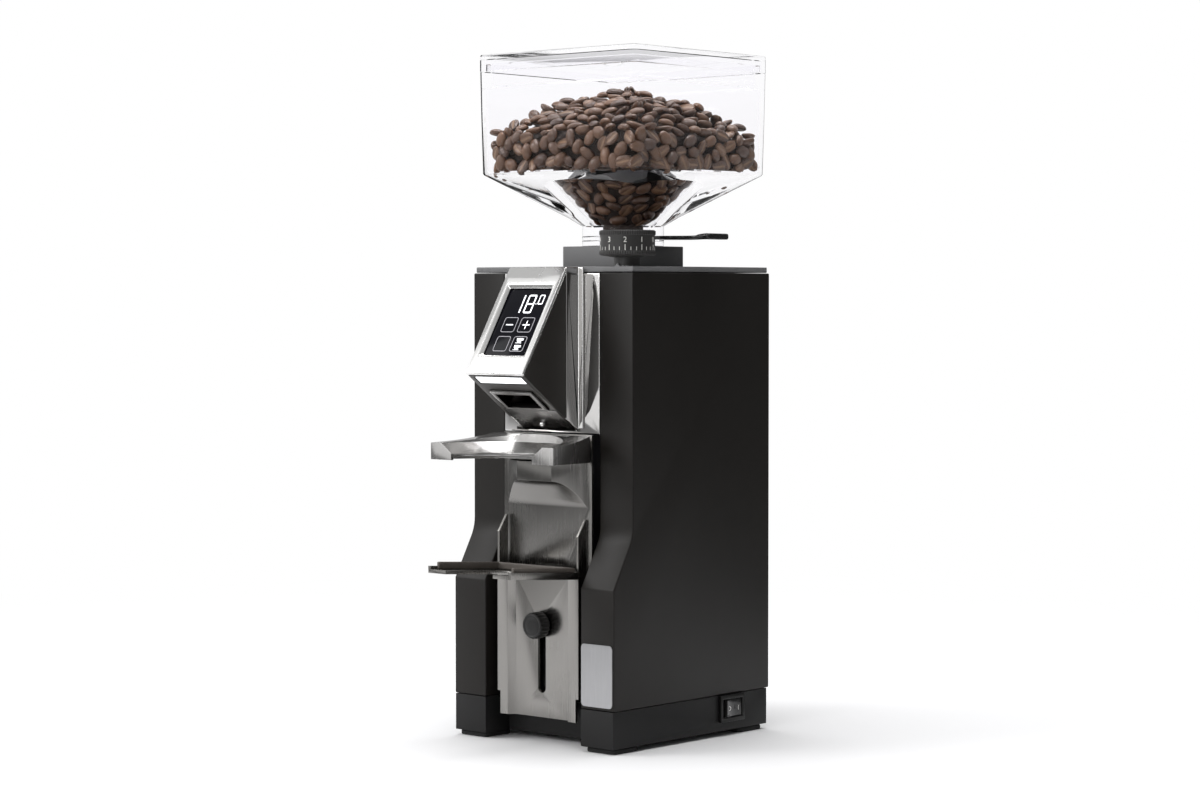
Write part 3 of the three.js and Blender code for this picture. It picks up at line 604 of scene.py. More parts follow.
def piece_from(name: str, body: str, finish: Finish, verts: Sequence[Vector | Place],
               faces: Sequence[Sequence[int]], smooth: float | None = 35.0,
               weld: bool = True) -> bpy.types.Object:
    """Make a mesh piece that rides on a body.

    Args:
        name: The piece's name.
        body: The body that it rides on.
        finish: Its finish.
        verts: Its points in metres, in the frame's coordinates.
        faces: Its faces.
        smooth: Edges flatter than this, in degrees, are shaded smooth; None shades flat.
        weld: Join points that coincide.

    Returns:
        The new object.
    """
    mesh = bpy.data.meshes.new(name)
    mesh.from_pydata([tuple(v) for v in verts], [], [tuple(f) for f in faces])
    mesh.validate()
    build = bmesh.new()
    build.from_mesh(mesh)
    if weld:
        bmesh.ops.remove_doubles(build, verts=build.verts, dist=1e-7)
    bmesh.ops.recalc_face_normals(build, faces=build.faces)
    if build.calc_volume(signed=True) < 0:
        bmesh.ops.reverse_faces(build, faces=build.faces)
    build.to_mesh(mesh)
    build.free()
    if smooth is not None:
        mesh.shade_smooth()
        mesh.set_sharp_from_angle(angle=math.radians(smooth))
    piece = bpy.data.objects.new(name, mesh)
    bpy.context.scene.collection.objects.link(piece)
    mesh.materials.append(finish.material())
    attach(piece, body)
    log.info("%s rides on %s", name, body)
    return piece


@dataclass
class Form:
    """Points and faces that several shapes are gathered into."""

    verts: list[Vector] = field(default_factory=list)
    faces: list[tuple[int, ...]] = field(default_factory=list)

    def take(self, verts: Iterable[Vector], faces: Iterable[Sequence[int]],
             place: Matrix | None = None) -> None:
        """Add a shape.

        Args:
            verts: Its points.
            faces: Its faces.
            place: Where to put it.
        """
        base = len(self.verts)
        self.verts.extend((place @ Vector(v)) if place else Vector(v) for v in verts)
        self.faces.extend(tuple(base + i for i in f) for f in faces)

    def slab(self, x: Span, y: Span, z: Span,
             place: Matrix | None = None) -> None:
        """Add a rectangular bar.

        Args:
            x: Its limits along X in metres.
            y: Its limits along Y.
            z: Its limits along Z.
            place: Where to put it.
        """
        corners = [Vector((a, b, c)) for c in z for b in y for a in x]
        quads = [(0, 1, 3, 2), (4, 6, 7, 5), (0, 4, 5, 1), (2, 3, 7, 6), (0, 2, 6, 4), (1, 5, 7, 3)]
        self.take(corners, quads, place)

    def loft(self, rings: Sequence[Sequence[Vector]], cap_start: bool = True, cap_end: bool = True,
             place: Matrix | None = None, closed: bool = False) -> None:
        """Join rings of equal length into a skin.

        Args:
            rings: The rings, in order.
            cap_start: Close the first ring with a face.
            cap_end: Close the last ring with a face.
            place: Where to put it.
            closed: Join the last ring to the first instead of capping either.
        """
        count = len(rings[0])
        verts = [v for ring in rings for v in ring]
        faces: list[tuple[int, ...]] = []
        for row in range(len(rings) if closed else len(rings) - 1):
            follow = (row + 1) % len(rings)
            for i in range(count):
                j = (i + 1) % count
                faces.append((row * count + i, row * count + j, follow * count + j, follow * count + i))
        cap_start, cap_end = cap_start and not closed, cap_end and not closed
        if cap_start:
            faces.append(tuple(reversed(range(count))))
        if cap_end:
            faces.append(tuple(range((len(rings) - 1) * count, len(rings) * count)))
        self.take(verts, faces, place)


def circle(radius: float, height: float, steps: int = 64,
           shape: Callable[[float], float] | None = None) -> list[Vector]:
    """Points of a circle about Z.

    Args:
        radius: Its radius.
        height: Its height.
        steps: How many points.
        shape: Added to the radius at each angle, if given.

    Returns:
        The points.
    """
    ring = []
    for i in range(steps):
        angle = 2 * math.pi * i / steps
        r = radius + (shape(angle) if shape else 0.0)
        ring.append(Vector((r * math.cos(angle), r * math.sin(angle), height)))
    return ring


def rounded_ring(half_x: float, half_y: float, radius: float, height: float,
                 per_corner: int = 12) -> list[Vector]:
    """Points of a rounded rectangle about Z; equal halves and radius give a circle.

    Args:
        half_x: Half its width.
        half_y: Half its depth.
        radius: Its corners' radius.
        height: Its height.
        per_corner: Steps round each corner.

    Returns:
        The points, in the same order for every size.
    """
    ring = []
    for sx, sy, start in ((1, -1, -90), (1, 1, 0), (-1, 1, 90), (-1, -1, 180)):
        for step in range(per_corner + 1):
            angle = math.radians(start + 90 * step / per_corner)
            ring.append(Vector((
                sx * (half_x - radius) + radius * math.cos(angle),
                sy * (half_y - radius) + radius * math.sin(angle), height)))
    return ring


def limits(node: str) -> tuple[Vector, Vector]:
    """Lowest and highest corner of a CAD node's box."""
    low, high = (Vector(corner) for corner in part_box(node))
    return low, high


def middle(node: str) -> Vector:
    """Middle of a CAD node's box."""
    low, high = limits(node)
    return (low + high) / 2


def text_form(text: str, size: float, depth: float) -> Form:
    """A line of text as a thin solid, centred, lying in XY with its face up.

    Args:
        text: Generic signs only, such as digits.
        size: Height of the line in metres.
        depth: Thickness in metres.

    Returns:
        Its points and faces.
    """
    curve = bpy.data.curves.new("sign", "FONT")
    curve.body = text
    curve.size = size
    curve.extrude = depth / 2
    curve.resolution_u = 3
    curve.align_x = "CENTER"
    curve.align_y = "CENTER"
    holder = bpy.data.objects.new("sign", curve)
    mesh = bpy.data.meshes.new_from_object(holder)
    form = Form([v.co.copy() for v in mesh.vertices], [tuple(p.vertices) for p in mesh.polygons])
    bpy.data.objects.remove(holder)
    bpy.data.curves.remove(curve)
    bpy.data.meshes.remove(mesh)
    return form


def declare(piece: bpy.types.Object, slot: str, *nodes: str) -> bpy.types.Object:
    """Hide the CAD nodes that a new piece replaces.

    Args:
        piece: The new piece.
        slot: Not used.
        nodes: The CAD nodes that it replaces, if any.

    Returns:
        The piece.
    """
    if nodes:
        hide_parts(*nodes)
    return piece


# ---- studio -------------------------------------------------------------------------------


@dataclass
class Studio:
    """Pale floor, near-white surroundings, soft lamps and the camera."""

    camera_at: Place = (1.07558, -1.21059, 0.24955)
    camera_tilt: float = 2.081
    camera_turn: float = 41.482
    lens: float = 86.25
    floor_radius: float = 2.6
    fade: Span = (0.28, 0.9)
    floor_steps: int = 96
    floor_color: Color = (0.86, 0.86, 0.86 * 1.01)
    ambient: float = 0.16
    bright: float = 0.85
    bright_side: Place = (-0.72, -0.5, 0.48)
    bright_span: Span = (-0.45, 0.9)

    def build(self) -> None:
        """Make everything round the object."""
        self.floor()
        self.world()
        self.lamps()
        self.camera()

    def floor(self) -> None:
        """Make the floor, which turns into plain light away from the object."""
        made = bpy.data.materials.new("studio_floor")
        graph = Graph.emptied(made)
        place = graph.add("NewGeometry").outputs["Position"]
        distance = graph.add("VectorMath", {0: place}, operation="LENGTH").outputs["Value"]
        away = graph.add("MapRange", {"Value": distance, "From Min": self.fade[0], "From Max": self.fade[1]},
                         interpolation_type="SMOOTHERSTEP").outputs["Result"]
        near = graph.add("BsdfDiffuse", {"Color": (*self.floor_color, 1.0)})
        seen = graph.either_ray("Is Camera Ray", "Is Transmission Ray")
        far = graph.add("Emission", {"Color": WHITE, "Strength": graph.spread(seen, self.ambient, 1.0)})
        mixed = graph.add("MixShader", {0: away, 1: near.outputs[0], 2: far.outputs[0]})
        graph.add("OutputMaterial", {"Surface": mixed.outputs[0]})
        mesh = bpy.data.meshes.new("floor")
        rim = circle(self.floor_radius, 0.0, self.floor_steps)
        mesh.from_pydata([tuple(v) for v in rim], [], [tuple(range(self.floor_steps))])
        mesh.materials.append(made)
        floor = bpy.data.objects.new("floor", mesh)
        bpy.context.scene.collection.objects.link(floor)
        log.info("floor: plain and pale")

    def world(self) -> None:
        """Set the light all round: plain to the camera, brighter on one side to everything else."""
        world = bpy.data.worlds.new("studio")
        graph = Graph.emptied(world)
        seen = graph.either_ray("Is Camera Ray", "Is Transmission Ray")
        way = graph.add("TexCoord").outputs["Generated"]
        facing = graph.add("VectorMath", {0: way, 1: self.bright_side},
                           operation="DOT_PRODUCT").outputs["Value"]
        glow = graph.add("MapRange", {
            "Value": facing, "From Min": self.bright_span[0], "From Max": self.bright_span[1],
            "To Min": self.ambient, "To Max": self.bright,
        }, interpolation_type="SMOOTHSTEP").outputs["Result"]
        strength = graph.add("Mix", {"Factor": seen, "A": glow, "B": 1.0}).outputs["Result"]
        light = graph.add("Background", {"Color": WHITE, "Strength": strength})
        graph.add("OutputWorld", {"Surface": light.outputs[0]})
        bpy.context.scene.world = world

    def lamps(self) -> None:
        """Add the soft boxes."""
        self.soft_box("key", (-1.3, -1.5, 1.3), (0.0, 0.0, 0.2), (0.9, 0.9), 15.0)
        self.soft_box("overhead", (0.0, 0.1, 1.9), (0.0, 0.0, 0.3), (1.3, 1.3), 27.0)
        self.soft_box("front", (0.25, -2.2, 0.75), (0.0, 0.0, 0.2), (0.22, 1.3), 4.0)

    def soft_box(self, name: str, at: Place, towards: Place,
                 size: Span, power: float) -> None:
        """Add one soft box.

        Args:
            name: Its name.
            at: Where it stands, in metres.
            towards: What it points at.
            size: Its width and height in metres.
            power: Its power in watts.
        """
        data = bpy.data.lights.new(name, "AREA")
        data.shape = "RECTANGLE"
        data.size, data.size_y = size
        data.energy = power
        lamp = bpy.data.objects.new(name, data)
        lamp.location = at
        lamp.rotation_euler = (Vector(towards) - Vector(at)).to_track_quat("-Z", "Y").to_euler()
        bpy.context.scene.collection.objects.link(lamp)

    def camera(self) -> None:
        """Add the camera."""
        data = bpy.data.cameras.new("camera")
        data.lens = self.lens
        data.sensor_width = 36.0
        data.clip_start = 0.01
        camera = bpy.data.objects.new("camera", data)
        camera.location = self.camera_at
        tilt, turn = math.radians(90 - self.camera_tilt), math.radians(self.camera_turn)
        camera.rotation_euler = Euler((tilt, 0.0, turn))
        bpy.context.scene.collection.objects.link(camera)
        bpy.context.scene.camera = camera
        bpy.context.scene.view_settings.view_transform = "Standard"


# ---- sub-assemblies -----------------------------------------------------------------------


@dataclass
class Casing:
    """The folded panels, top cover, foot tray and feet."""

    fold: float = 0.8 * MM
    cover_edge: float = 0.7 * MM
    tray_edge: float = 0.5 * MM

    def build(self) -> None:
        """Finish the casing's parts."""
        for node in ("left_side_panel", "right_side_panel", "rear_panel"):
            dress(node, POWDER_BLACK, self.fold)
        dress("top_cover", COVER_GREY, self.cover_edge)
        dress("hopper_seat_block", COVER_GREY, self.cover_edge)
        dress("base_tray", BASE_BLACK, self.tray_edge)
        for corner in ("front_left", "front_right", "rear_left", "rear_right"):
            dress(f"foot_{corner}", RUBBER, 0.9 * MM)
        dress("cord_gland", MOULDED_BLACK, 0.4 * MM)
        dress("leg_label", LABEL)
        for corner in ("upper_left", "upper_right", "lower_left", "lower_right"):
            dress(f"rear_screw_{corner}", TOOL_STEEL, 0.25 * MM, segments=2)


@dataclass
class Head:
    """The sloping display head with its spout, frame, lamp and start button."""

    slope: float = 58.62
    nose_drop: float = 58.2
    sign_at: float = -2.36
    sign_depth: float = 0.06
    stroke: float = 0.9
    fine_stroke: float = 0.6
    outline: float = 0.34
    key_half: float = 5.0
    key_corner: float = 1.4
    inner_corner: float = 1.1
    key_columns: Span = (-5.7, 6.7)
    key_rows: tuple[Span, ...] = ((27.7, 37.2), (15.5, 25.1))
    cup_halves: tuple[float, ...] = (1.1, 1.5, 1.75, 1.9, 1.95)
    sign_height: float = 32.45
    sign_reach: float = 2.6

    def build(self) -> None:
        """Finish the head's parts and add its signs."""
        dress("display_bezel", SATIN_CHROME, 0.7 * MM, segments=4)
        dress("display_glass", DISPLAY, 0.2 * MM)
        dress("head_housing", HEAD_BLACK, 0.9 * MM)
        dress("head_frame", MIRROR, 0.45 * MM)
        dress("polished_plate", MIRROR, 0.45 * MM)
        dress("lamp_lens", LAMP, 0.3 * MM)
        dress("start_button", POLISHED_STEEL, 0.25 * MM)
        dress("spout_chute", DARK_STEEL, 0.4 * MM)
        dress("underside_plate", DARK_STEEL, 0.4 * MM)
        dress("start_switch", MOULDED_BLACK)
        dress("display_board", BOARD)
        self.signs()

    def face(self) -> Matrix:
        """Find the sloping face.

        Returns:
            Its own axes: X across, Y up along it, Z out of it.
        """
        low, high = limits("display_bezel")
        nose = Vector(((low.x + high.x) / 2, low.y, high.z - self.nose_drop * MM))
        return Matrix.Translation(nose) @ Matrix.Rotation(math.radians(self.slope), 4, "X")

    def bar(self, form: Form, x: Span, t: Span) -> None:
        """Add one stroke of a sign.

        Args:
            form: Where it is gathered.
            x: Its limits across the face in millimetres.
            t: Its limits along the face in millimetres.
        """
        form.slab((x[0] * MM, x[1] * MM), (t[0] * MM, t[1] * MM),
                  (self.sign_at * MM, (self.sign_at + self.sign_depth) * MM))

    def digit(self, form: Form, centre: float, width: float, t: Span, lit: str,
              pen: float) -> None:
        """Add a seven-segment digit.

        Args:
            form: Where it is gathered.
            centre: Its middle across the face, in millimetres.
            width: Its width in millimetres.
            t: Its bottom and top along the face, in millimetres.
            lit: The segments that are lit, from A to G.
            pen: Its strokes' width in millimetres.
        """
        half, gap = width / 2, 0.12
        mid = (t[0] + t[1]) / 2
        across = (centre - half + pen * 0.6, centre + half - pen * 0.6)
        left = (centre - half, centre - half + pen)
        right = (centre + half - pen, centre + half)
        upper, lower = (mid + gap, t[1] - pen * 0.6), (t[0] + pen * 0.6, mid - gap)
        places = {
            "A": (across, (t[1] - pen, t[1])), "D": (across, (t[0], t[0] + pen)),
            "G": (across, (mid - pen / 2, mid + pen / 2)), "B": (right, upper), "C": (right, lower),
            "F": (left, upper), "E": (left, lower),
        }
        for name in lit:
            self.bar(form, *places[name])

    def key_outline(self, form: Form, centre: float, t: Span) -> None:
        """Add a key's rounded outline.

        Args:
            form: Where it is gathered.
            centre: Its middle across the face, in millimetres.
            t: Its bottom and top along the face, in millimetres.
        """
        middle_t, tall, pen = (t[0] + t[1]) / 2 * MM, (t[1] - t[0]) / 2 * MM, self.outline * MM
        half = self.key_half * MM
        low, high = self.sign_at * MM, (self.sign_at + self.sign_depth) * MM
        place = Matrix.Translation((centre * MM, middle_t, 0.0))
        outer = [rounded_ring(half, tall, self.key_corner * MM, z, 5) for z in (low, high)]
        inner = [rounded_ring(half - pen, tall - pen, self.inner_corner * MM, z, 5) for z in (high, low)]
        form.loft([*outer, *inner], place=place, closed=True)

    def cup(self, form: Form, centre: float, low: float) -> None:
        """Add a small cup sign.

        Args:
            form: Where it is gathered.
            centre: The cup's middle across the face, in millimetres.
            low: Height of its saucer along the face, in millimetres.
        """
        for row, half in enumerate(self.cup_halves):
            self.bar(form, (centre - half, centre + half), (low + 0.6 + row * 0.5, low + 1.1 + row * 0.5))
        self.bar(form, (centre - 2.2, centre + 2.2), (low, low + 0.3))
        for height in (1.7, 2.7):
            self.bar(form, (centre + 1.9, centre + 2.75), (low + height, low + height + 0.25))
        self.bar(form, (centre + 2.6, centre + 2.85), (low + 1.7, low + 2.95))

    def signs(self) -> None:
        """Add the lit digits and the keys' outlines."""
        lit, dim = Form(), Form()
        for low, high in ((46.0, 51.4), (40.2, 45.6)):
            self.bar(lit, (-2.5 - self.stroke / 2, -2.5 + self.stroke / 2), (low, high))
        self.digit(lit, 3.3, 6.0, (39.9, 51.7), "ABCDEFG", self.stroke)
        self.digit(lit, 10.5, 3.7, (45.6, 51.7), "ABCDEF", self.fine_stroke)
        self.bar(lit, (7.3, 7.9), (45.6, 46.2))
        reach, half, up = self.sign_reach, self.fine_stroke / 2, self.sign_height
        for centre in self.key_columns:
            self.bar(lit, (centre - reach, centre + reach), (up - half, up + half))
        plus = self.key_columns[-1]
        self.bar(lit, (plus - half, plus + half), (up - reach, up + reach))
        for low in (16.4, 20.8):
            self.cup(lit, 6.4, low)
        for centre in self.key_columns:
            for row in self.key_rows:
                self.key_outline(dim, centre, row)
        for name, form, finish in (("display_digits", lit, SIGN), ("display_outlines", dim, SIGN_DIM)):
            verts = [self.face() @ v for v in form.verts]
            declare(piece_from(name, "machine", finish, verts, form.faces, None), "lamp_white")


@dataclass
class Forks:
    """The steel panel, the fixed upper fork, the sliding lower fork and its clamp knob."""

    knob_radius: float = 7.45
    flutes: int = 20
    flute_depth: float = 0.42
    knob_steps: int = 160

    def build(self) -> None:
        """Finish the forks and rebuild the knob with its flutes."""
        dress("front_panel", STEEL, 0.7 * MM)
        dress("upper_fork", FORK_STEEL, 0.8 * MM, segments=4)
        dress("fork_bracket", BRACKET_STEEL, 0.55 * MM, angle=14.0)
        dress("fork_liner", LINER, 0.7 * MM)
        dress("clamp_stud", TOOL_STEEL, 0.3 * MM)
        self.knob()

    def knob(self) -> None:
        """Make the fluted knob, turned about the stud's axis."""
        low, high = limits("clamp_knob")
        centre = (low + high) / 2
        length = (high.y - low.y) / MM

        def flute(angle: float) -> float:
            """Depth of the flutes at an angle, as a change of radius."""
            return -self.flute_depth * MM * (0.5 - 0.5 * math.cos(self.flutes * angle)) ** 1.5

        full = self.knob_radius
        stations = [
            (0.0, 2.2, False), (0.0, 4.4, False), (0.35, 5.0, False), (0.35, 5.5, False), (0.0, 6.1, False),
            (0.25, 6.8, False), (0.9, full - 0.15, True), (1.6, full, True), (length - 1.4, full, True),
            (length - 0.7, full - 0.5, True), (length - 0.3, full - 1.2, False), (length, full - 1.8, False),
            (length, 3.3, False),
        ]
        rings = [circle(r * MM, y * MM, self.knob_steps, flute if cut else None) for y, r, cut in stations]
        form, lie = Form(), Matrix.Rotation(-math.pi / 2, 4, "X")
        form.loft(rings, place=Matrix.Translation((centre.x, low.y, centre.z)) @ lie)
        knob = piece_from("fluted_knob", "knob", MOULDED_BLACK, form.verts, form.faces)
        declare(knob, "knob_black", "clamp_knob")


@dataclass
class Pile:
    """Places that keep a least distance from each other."""

    spacing: float
    taken: dict[tuple[int, ...], list[Vector]] = field(default_factory=dict)
    chosen: list[tuple[Vector, Vector]] = field(default_factory=list)

    def offer(self, at: Vector, away: Vector) -> None:
        """Take a place if it is far enough from those taken.

        Args:
            at: The place.
            away: The direction that a bean there lies against.
        """
        cell = tuple(int(c // self.spacing) for c in at)
        near = [o for dx in (-1, 0, 1) for dy in (-1, 0, 1) for dz in (-1, 0, 1)
                for o in self.taken.get((cell[0] + dx, cell[1] + dy, cell[2] + dz), ())]
        if all((o - at).length >= self.spacing for o in near):
            self.taken.setdefault(cell, []).append(at)
            self.chosen.append((at, away))


@dataclass
class Hopper:
    """The clear hopper, its lid and the beans."""

    gate_reach: float = 37.0
    collar: float = 23.4
    slot: Span = (280.8, 283.2)
    slot_half: float = 16.4
    slot_play: float = 0.2
    thinnest: float = 0.01
    foot_height: float = 277.8
    arc_steps: int = 48
    round_steps: int = 96
    outer: tuple[Row, ...] = (
        (23.4, 23.4, 23.4, 283.2), (23.4, 23.4, 23.4, 289.0), (30.0, 30.0, 26.0, 293.9),
        (58.05, 57.45, 5.5, 318.0), (58.35, 57.75, 5.0, 318.9), (59.0, 58.4, 5.0, 350.0),
        (59.4, 58.8, 5.0, 376.0), (59.4, 58.8, 5.0, 376.3), (57.0, 56.4, 4.0, 376.45),
        (56.5, 55.9, 4.0, 376.8), (56.5, 55.9, 4.0, 380.7), (56.2, 55.6, 4.0, 381.0),
    )
    inner: tuple[Row, ...] = (
        (54.2, 53.6, 3.0, 381.0), (53.9, 53.3, 3.0, 380.7), (53.9, 53.3, 3.0, 368.5),
        (56.5, 55.9, 3.5, 367.5), (55.75, 55.15, 3.5, 320.0), (55.3, 54.7, 4.0, 319.2),
        (42.3, 42.3, 42.3, 317.4), (41.8, 41.8, 41.8, 316.8),
        (15.6, 15.6, 15.6, 289.0), (15.0, 15.0, 15.0, 288.3), (15.0, 15.0, 15.0, 283.2),
    )
    bean_length: float = 10.4
    bean_half_width: float = 3.6
    bean_rise: float = 2.9
    bean_fall: float = 1.35
    bean_rows: int = 9
    bean_steps: int = 20
    spacing: float = 6.3
    place_seed: int = 41
    lie_seed: int = 7
    heap_half: float = 50.6
    heap_tries: int = 30000
    wall_half: float = 51.0
    wall_top: float = 340.0
    wall_tries: int = 26000
    ledge_height: float = 322.4
    ledge_tries: int = 16000
    cone_mouth: float = 40.0
    cone_foot: float = 12.0
    cone_tries: int = 26000
    heap: tuple[Span, ...] = ((0.0, 363.0), (0.3, 361.0), (0.6, 354.5), (0.85, 345.0), (1.0, 337.0))
    centre: Vector = field(default_factory=Vector)

    def build(self) -> None:
        """Make the hopper, the lid and the beans."""
        self.centre = Vector((*middle("hopper").xy, 0.0))
        self.shell()
        self.lid()
        self.gate()
        self.beans()

    def rings(self, rows: Iterable[Row]) -> list[list[Vector]]:
        """Rounded rings in metres for rows of half width, half depth, corner and height."""
        return [rounded_ring(x * MM, y * MM, r * MM, z * MM, 14) for x, y, r, z in rows]

    def shell(self) -> None:
        """Make the hopper's body as one smooth skin."""
        form, place = Form(), Matrix.Translation(self.centre)
        form.loft(self.rings([*self.outer, *self.inner]), place=place, closed=True)
        bore, under = self.inner[-1][0], self.foot_height
        foot = [(self.collar, under), (self.collar, self.slot[0]), (bore, self.slot[0]), (bore, under)]
        form.loft([circle(r * MM, z * MM, self.round_steps) for r, z in foot], place=place, closed=True)
        opening = math.asin(self.slot_half / self.collar)
        sections = []
        for step in range(self.arc_steps + 1):
            angle = opening + (2 * math.pi - 2 * opening) * step / self.arc_steps
            way = Vector((math.cos(angle), math.sin(angle), 0.0))
            inside = self.slot_half + self.slot_play
            if way.x > 0:
                inside = min(self.collar - self.thinnest, max(inside, inside / abs(way.y)))
            sections.append([way * (r * MM) + Vector((0.0, 0.0, z * MM)) for r, z in (
                (inside, self.slot[0]), (self.collar, self.slot[0]),
                (self.collar, self.slot[1]), (inside, self.slot[1]))])
        form.loft(sections, place=place)
        shell = piece_from("hopper_shell", "machine", CLEAR, form.verts, form.faces, 24.0)
        declare(shell, "clear_plastic", "hopper")

    def lid(self) -> None:
        """Make the lid with its rounded top edge and its pocket."""
        cap = [(59.3, 58.7, 5.0, 376.6), (59.5, 58.9, 5.0, 376.8), (59.5, 58.9, 5.0, 385.3)]
        cap += [(59.5 - d, 58.9 - d, 5.0 - d, z) for d, z in ((0.1, 385.7), (0.4, 386.1), (0.9, 386.3))]
        pocket = [(56.0 - d, 55.4 - d, 3.0, z) for d, z in ((0.8, 383.8), (0.1, 383.6), (-1.0, 383.2))]
        pocket += [(57.2, 56.6, 3.5, 377.0), (57.5, 56.9, 3.5, 376.6)]
        form, place = Form(), Matrix.Translation(self.centre)
        form.loft(self.rings(cap), cap_start=False, place=place)
        form.loft(self.rings(pocket), cap_end=False, place=place)
        form.loft(self.rings([pocket[-1], cap[0]]), cap_start=False, cap_end=False, place=place)
        lid = piece_from("lid_cap", "lid", CLEAR, form.verts, form.faces, 24.0)
        declare(lid, "clear_plastic", "hopper_lid")

    def gate(self) -> None:
        """Make the gate's blade and its lever, which thickens towards its rounded end."""
        low, high = limits("gate_slide")
        foot, top, end = low.z / MM, high.z / MM, (high.x - self.centre.x) / MM
        form = Form()
        profile = ((15.6, foot + 0.4), (16.0, foot + 0.6), (16.0, top - 1.4), (15.6, top - 1.2))
        blade = [circle(r * MM, z * MM, self.round_steps) for r, z in profile]
        form.loft(blade, place=Matrix.Translation(self.centre + Vector((self.gate_reach * MM, 0.0, 0.0))))
        stations = [
            (42.0, 14.6, 0.0), (47.0, 13.8, 0.0), (51.0, 10.6, 0.0), (55.0, 8.9, 0.0), (60.4, 8.6, 0.05),
            (62.5, 8.8, 0.6), (65.5, 9.1, 0.9), (end - 2.2, 9.4, 1.0), (end - 0.8, 8.9, 0.9),
            (end - 0.2, 8.0, 0.6), (end, 7.0, 0.2),
        ]
        rings = []
        for x, half, share in stations:
            bottom, over = foot + 0.4 * (1 - share), top - 1.2 * (1 - share)
            tall = (over - bottom) / 2
            ring = rounded_ring(tall * MM, half * MM, tall * 0.8 * MM, 0.0, 6)
            rings.append([self.centre + Vector((x * MM, v.y, (bottom + tall) * MM + v.x)) for v in ring])
        form.loft(rings)
        lever = piece_from("gate_lever", "gate", GLOSS_BLACK, form.verts, form.faces, 50.0)
        declare(lever, "knob_black", "gate_slide")

    def height(self, share: float) -> float:
        """Find the heap's height.

        Args:
            share: Share of the way from its middle to the wall.

        Returns:
            The height in millimetres.
        """
        for (a, za), (b, zb) in zip(self.heap, self.heap[1:]):
            if share <= b:
                return za + (zb - za) * (share - a) / (b - a)
        return self.heap[-1][1]

    def bean(self) -> tuple[list[Vector], list[tuple[int, ...]], list[float]]:
        """Shape one bean about its middle, in millimetres.

        Returns:
            Its points, its faces and how far each point is in its seam.
        """
        rows, steps = self.bean_rows, self.bean_steps
        half = self.bean_length / 2
        verts, seams = [], []
        for row in range(rows + 1):
            along = -math.cos(math.pi * row / rows)
            girth = math.sqrt(max(0.0, 1 - along * along)) ** 0.86
            for step in range(steps):
                angle = 2 * math.pi * step / steps
                side, rise = math.cos(angle), math.sin(angle)
                flat = rise < 0
                height = rise * girth * (self.bean_fall if flat else self.bean_rise)
                seam = math.exp(-((side + 0.08 * math.sin(3 * along)) / 0.2) ** 2) if flat else 0.0
                height += seam * girth * 0.75
                verts.append(Vector((half * along, side * girth * self.bean_half_width, height)))
                seams.append(min(1.0, seam * girth * 1.2))
        faces: list[tuple[int, ...]] = []
        for row in range(rows):
            for step in range(steps):
                follow = (step + 1) % steps
                faces.append((row * steps + step, row * steps + follow,
                              (row + 1) * steps + follow, (row + 1) * steps + step))
        return verts, faces, seams

    def places(self) -> list[tuple[Vector, Vector]]:
        """Lay the visible beans on the heap, behind the walls, over the ledge and in the cone.

        Returns:
            Their middles in millimetres and the directions that they lie against.
        """
        rng = random.Random(self.place_seed)
        pile = Pile(self.spacing)
        half, ledge = self.heap_half, self.ledge_height
        for _ in range(self.heap_tries):
            x, y = rng.uniform(-half, half), rng.uniform(-half, half)
            share = max(abs(x), abs(y)) / 55
            bump = 2.2 * math.sin(x * 0.11 + 1.3) * math.cos(y * 0.13) + rng.uniform(-1.3, 1.3)
            pile.offer(Vector((x, y, self.height(share) + bump * (1.1 - share))), Vector((0, 0, 1)))
        for _ in range(self.wall_tries):
            side = rng.randrange(4)
            run, z = rng.uniform(-self.wall_half, self.wall_half), rng.uniform(ledge, self.wall_top)
            depth = 52.4 + (z - 320) * 0.015
            out = ((1, 0), (0, 1), (-1, 0), (0, -1))[side]
            at = Vector((out[0] * depth - out[1] * run, out[1] * depth + out[0] * run, z))
            pile.offer(at, Vector((out[0], out[1], 0.0)))
        for _ in range(self.ledge_tries):
            x, y = rng.uniform(-half, half), rng.uniform(-half, half)
            if math.hypot(x, y) > self.cone_mouth:
                pile.offer(Vector((x, y, ledge + rng.uniform(0.0, 0.8))), Vector((0, 0, -1)))
        for _ in range(self.cone_tries):
            angle, drop = rng.uniform(0, 2 * math.pi), rng.random() ** 0.5
            radius = self.cone_foot + drop * 26.2
            z = 292.6 + (radius - self.cone_foot) * 1.02
            away = Vector((math.cos(angle) * 0.7, math.sin(angle) * 0.7, -0.7))
            pile.offer(Vector((radius * math.cos(angle), radius * math.sin(angle), z)), away)
        log.info("%d beans are placed", len(pile.chosen))
        return pile.chosen

    def beans(self) -> None:
        """Make the visible beans and the dark mass of painted shade under them."""
        shape, faces, seams = self.bean()
        rng = random.Random(self.lie_seed)
        form, tones, creases = Form(), [], []
        for at, away in self.places():
            size = rng.uniform(0.86, 1.04)
            lie = away.to_track_quat("Z", "Y").to_matrix().to_4x4()
            tilt = Matrix.Rotation(rng.gauss(0, 0.3), 4, "X") @ Matrix.Rotation(rng.gauss(0, 0.22), 4, "Y")
            flip = Matrix.Rotation(math.pi if rng.random() < 0.42 else 0.0, 4, "X")
            turn = Matrix.Rotation(rng.uniform(0, 2 * math.pi), 4, "Z")
            put = Matrix.Translation(self.centre + at * MM)
            place = put @ lie @ tilt @ turn @ flip @ Matrix.Scale(size * MM, 4)
            form.take(shape, faces, place)
            tone = min(1.0, max(0.0, rng.gauss(0.4, 0.3)))
            tones.extend([tone] * len(shape))
            creases.extend(seams)
        beans = piece_from("beans", "machine", BEAN, form.verts, form.faces, 80.0, weld=False)
        for name, values in (("tone", tones), ("seam", creases)):
            layer = beans.data.attributes.new(name, "FLOAT", "POINT")
            layer.data.foreach_set("value", values)
        declare(beans, "roasted_beans", "bean_heap")
        self.core()

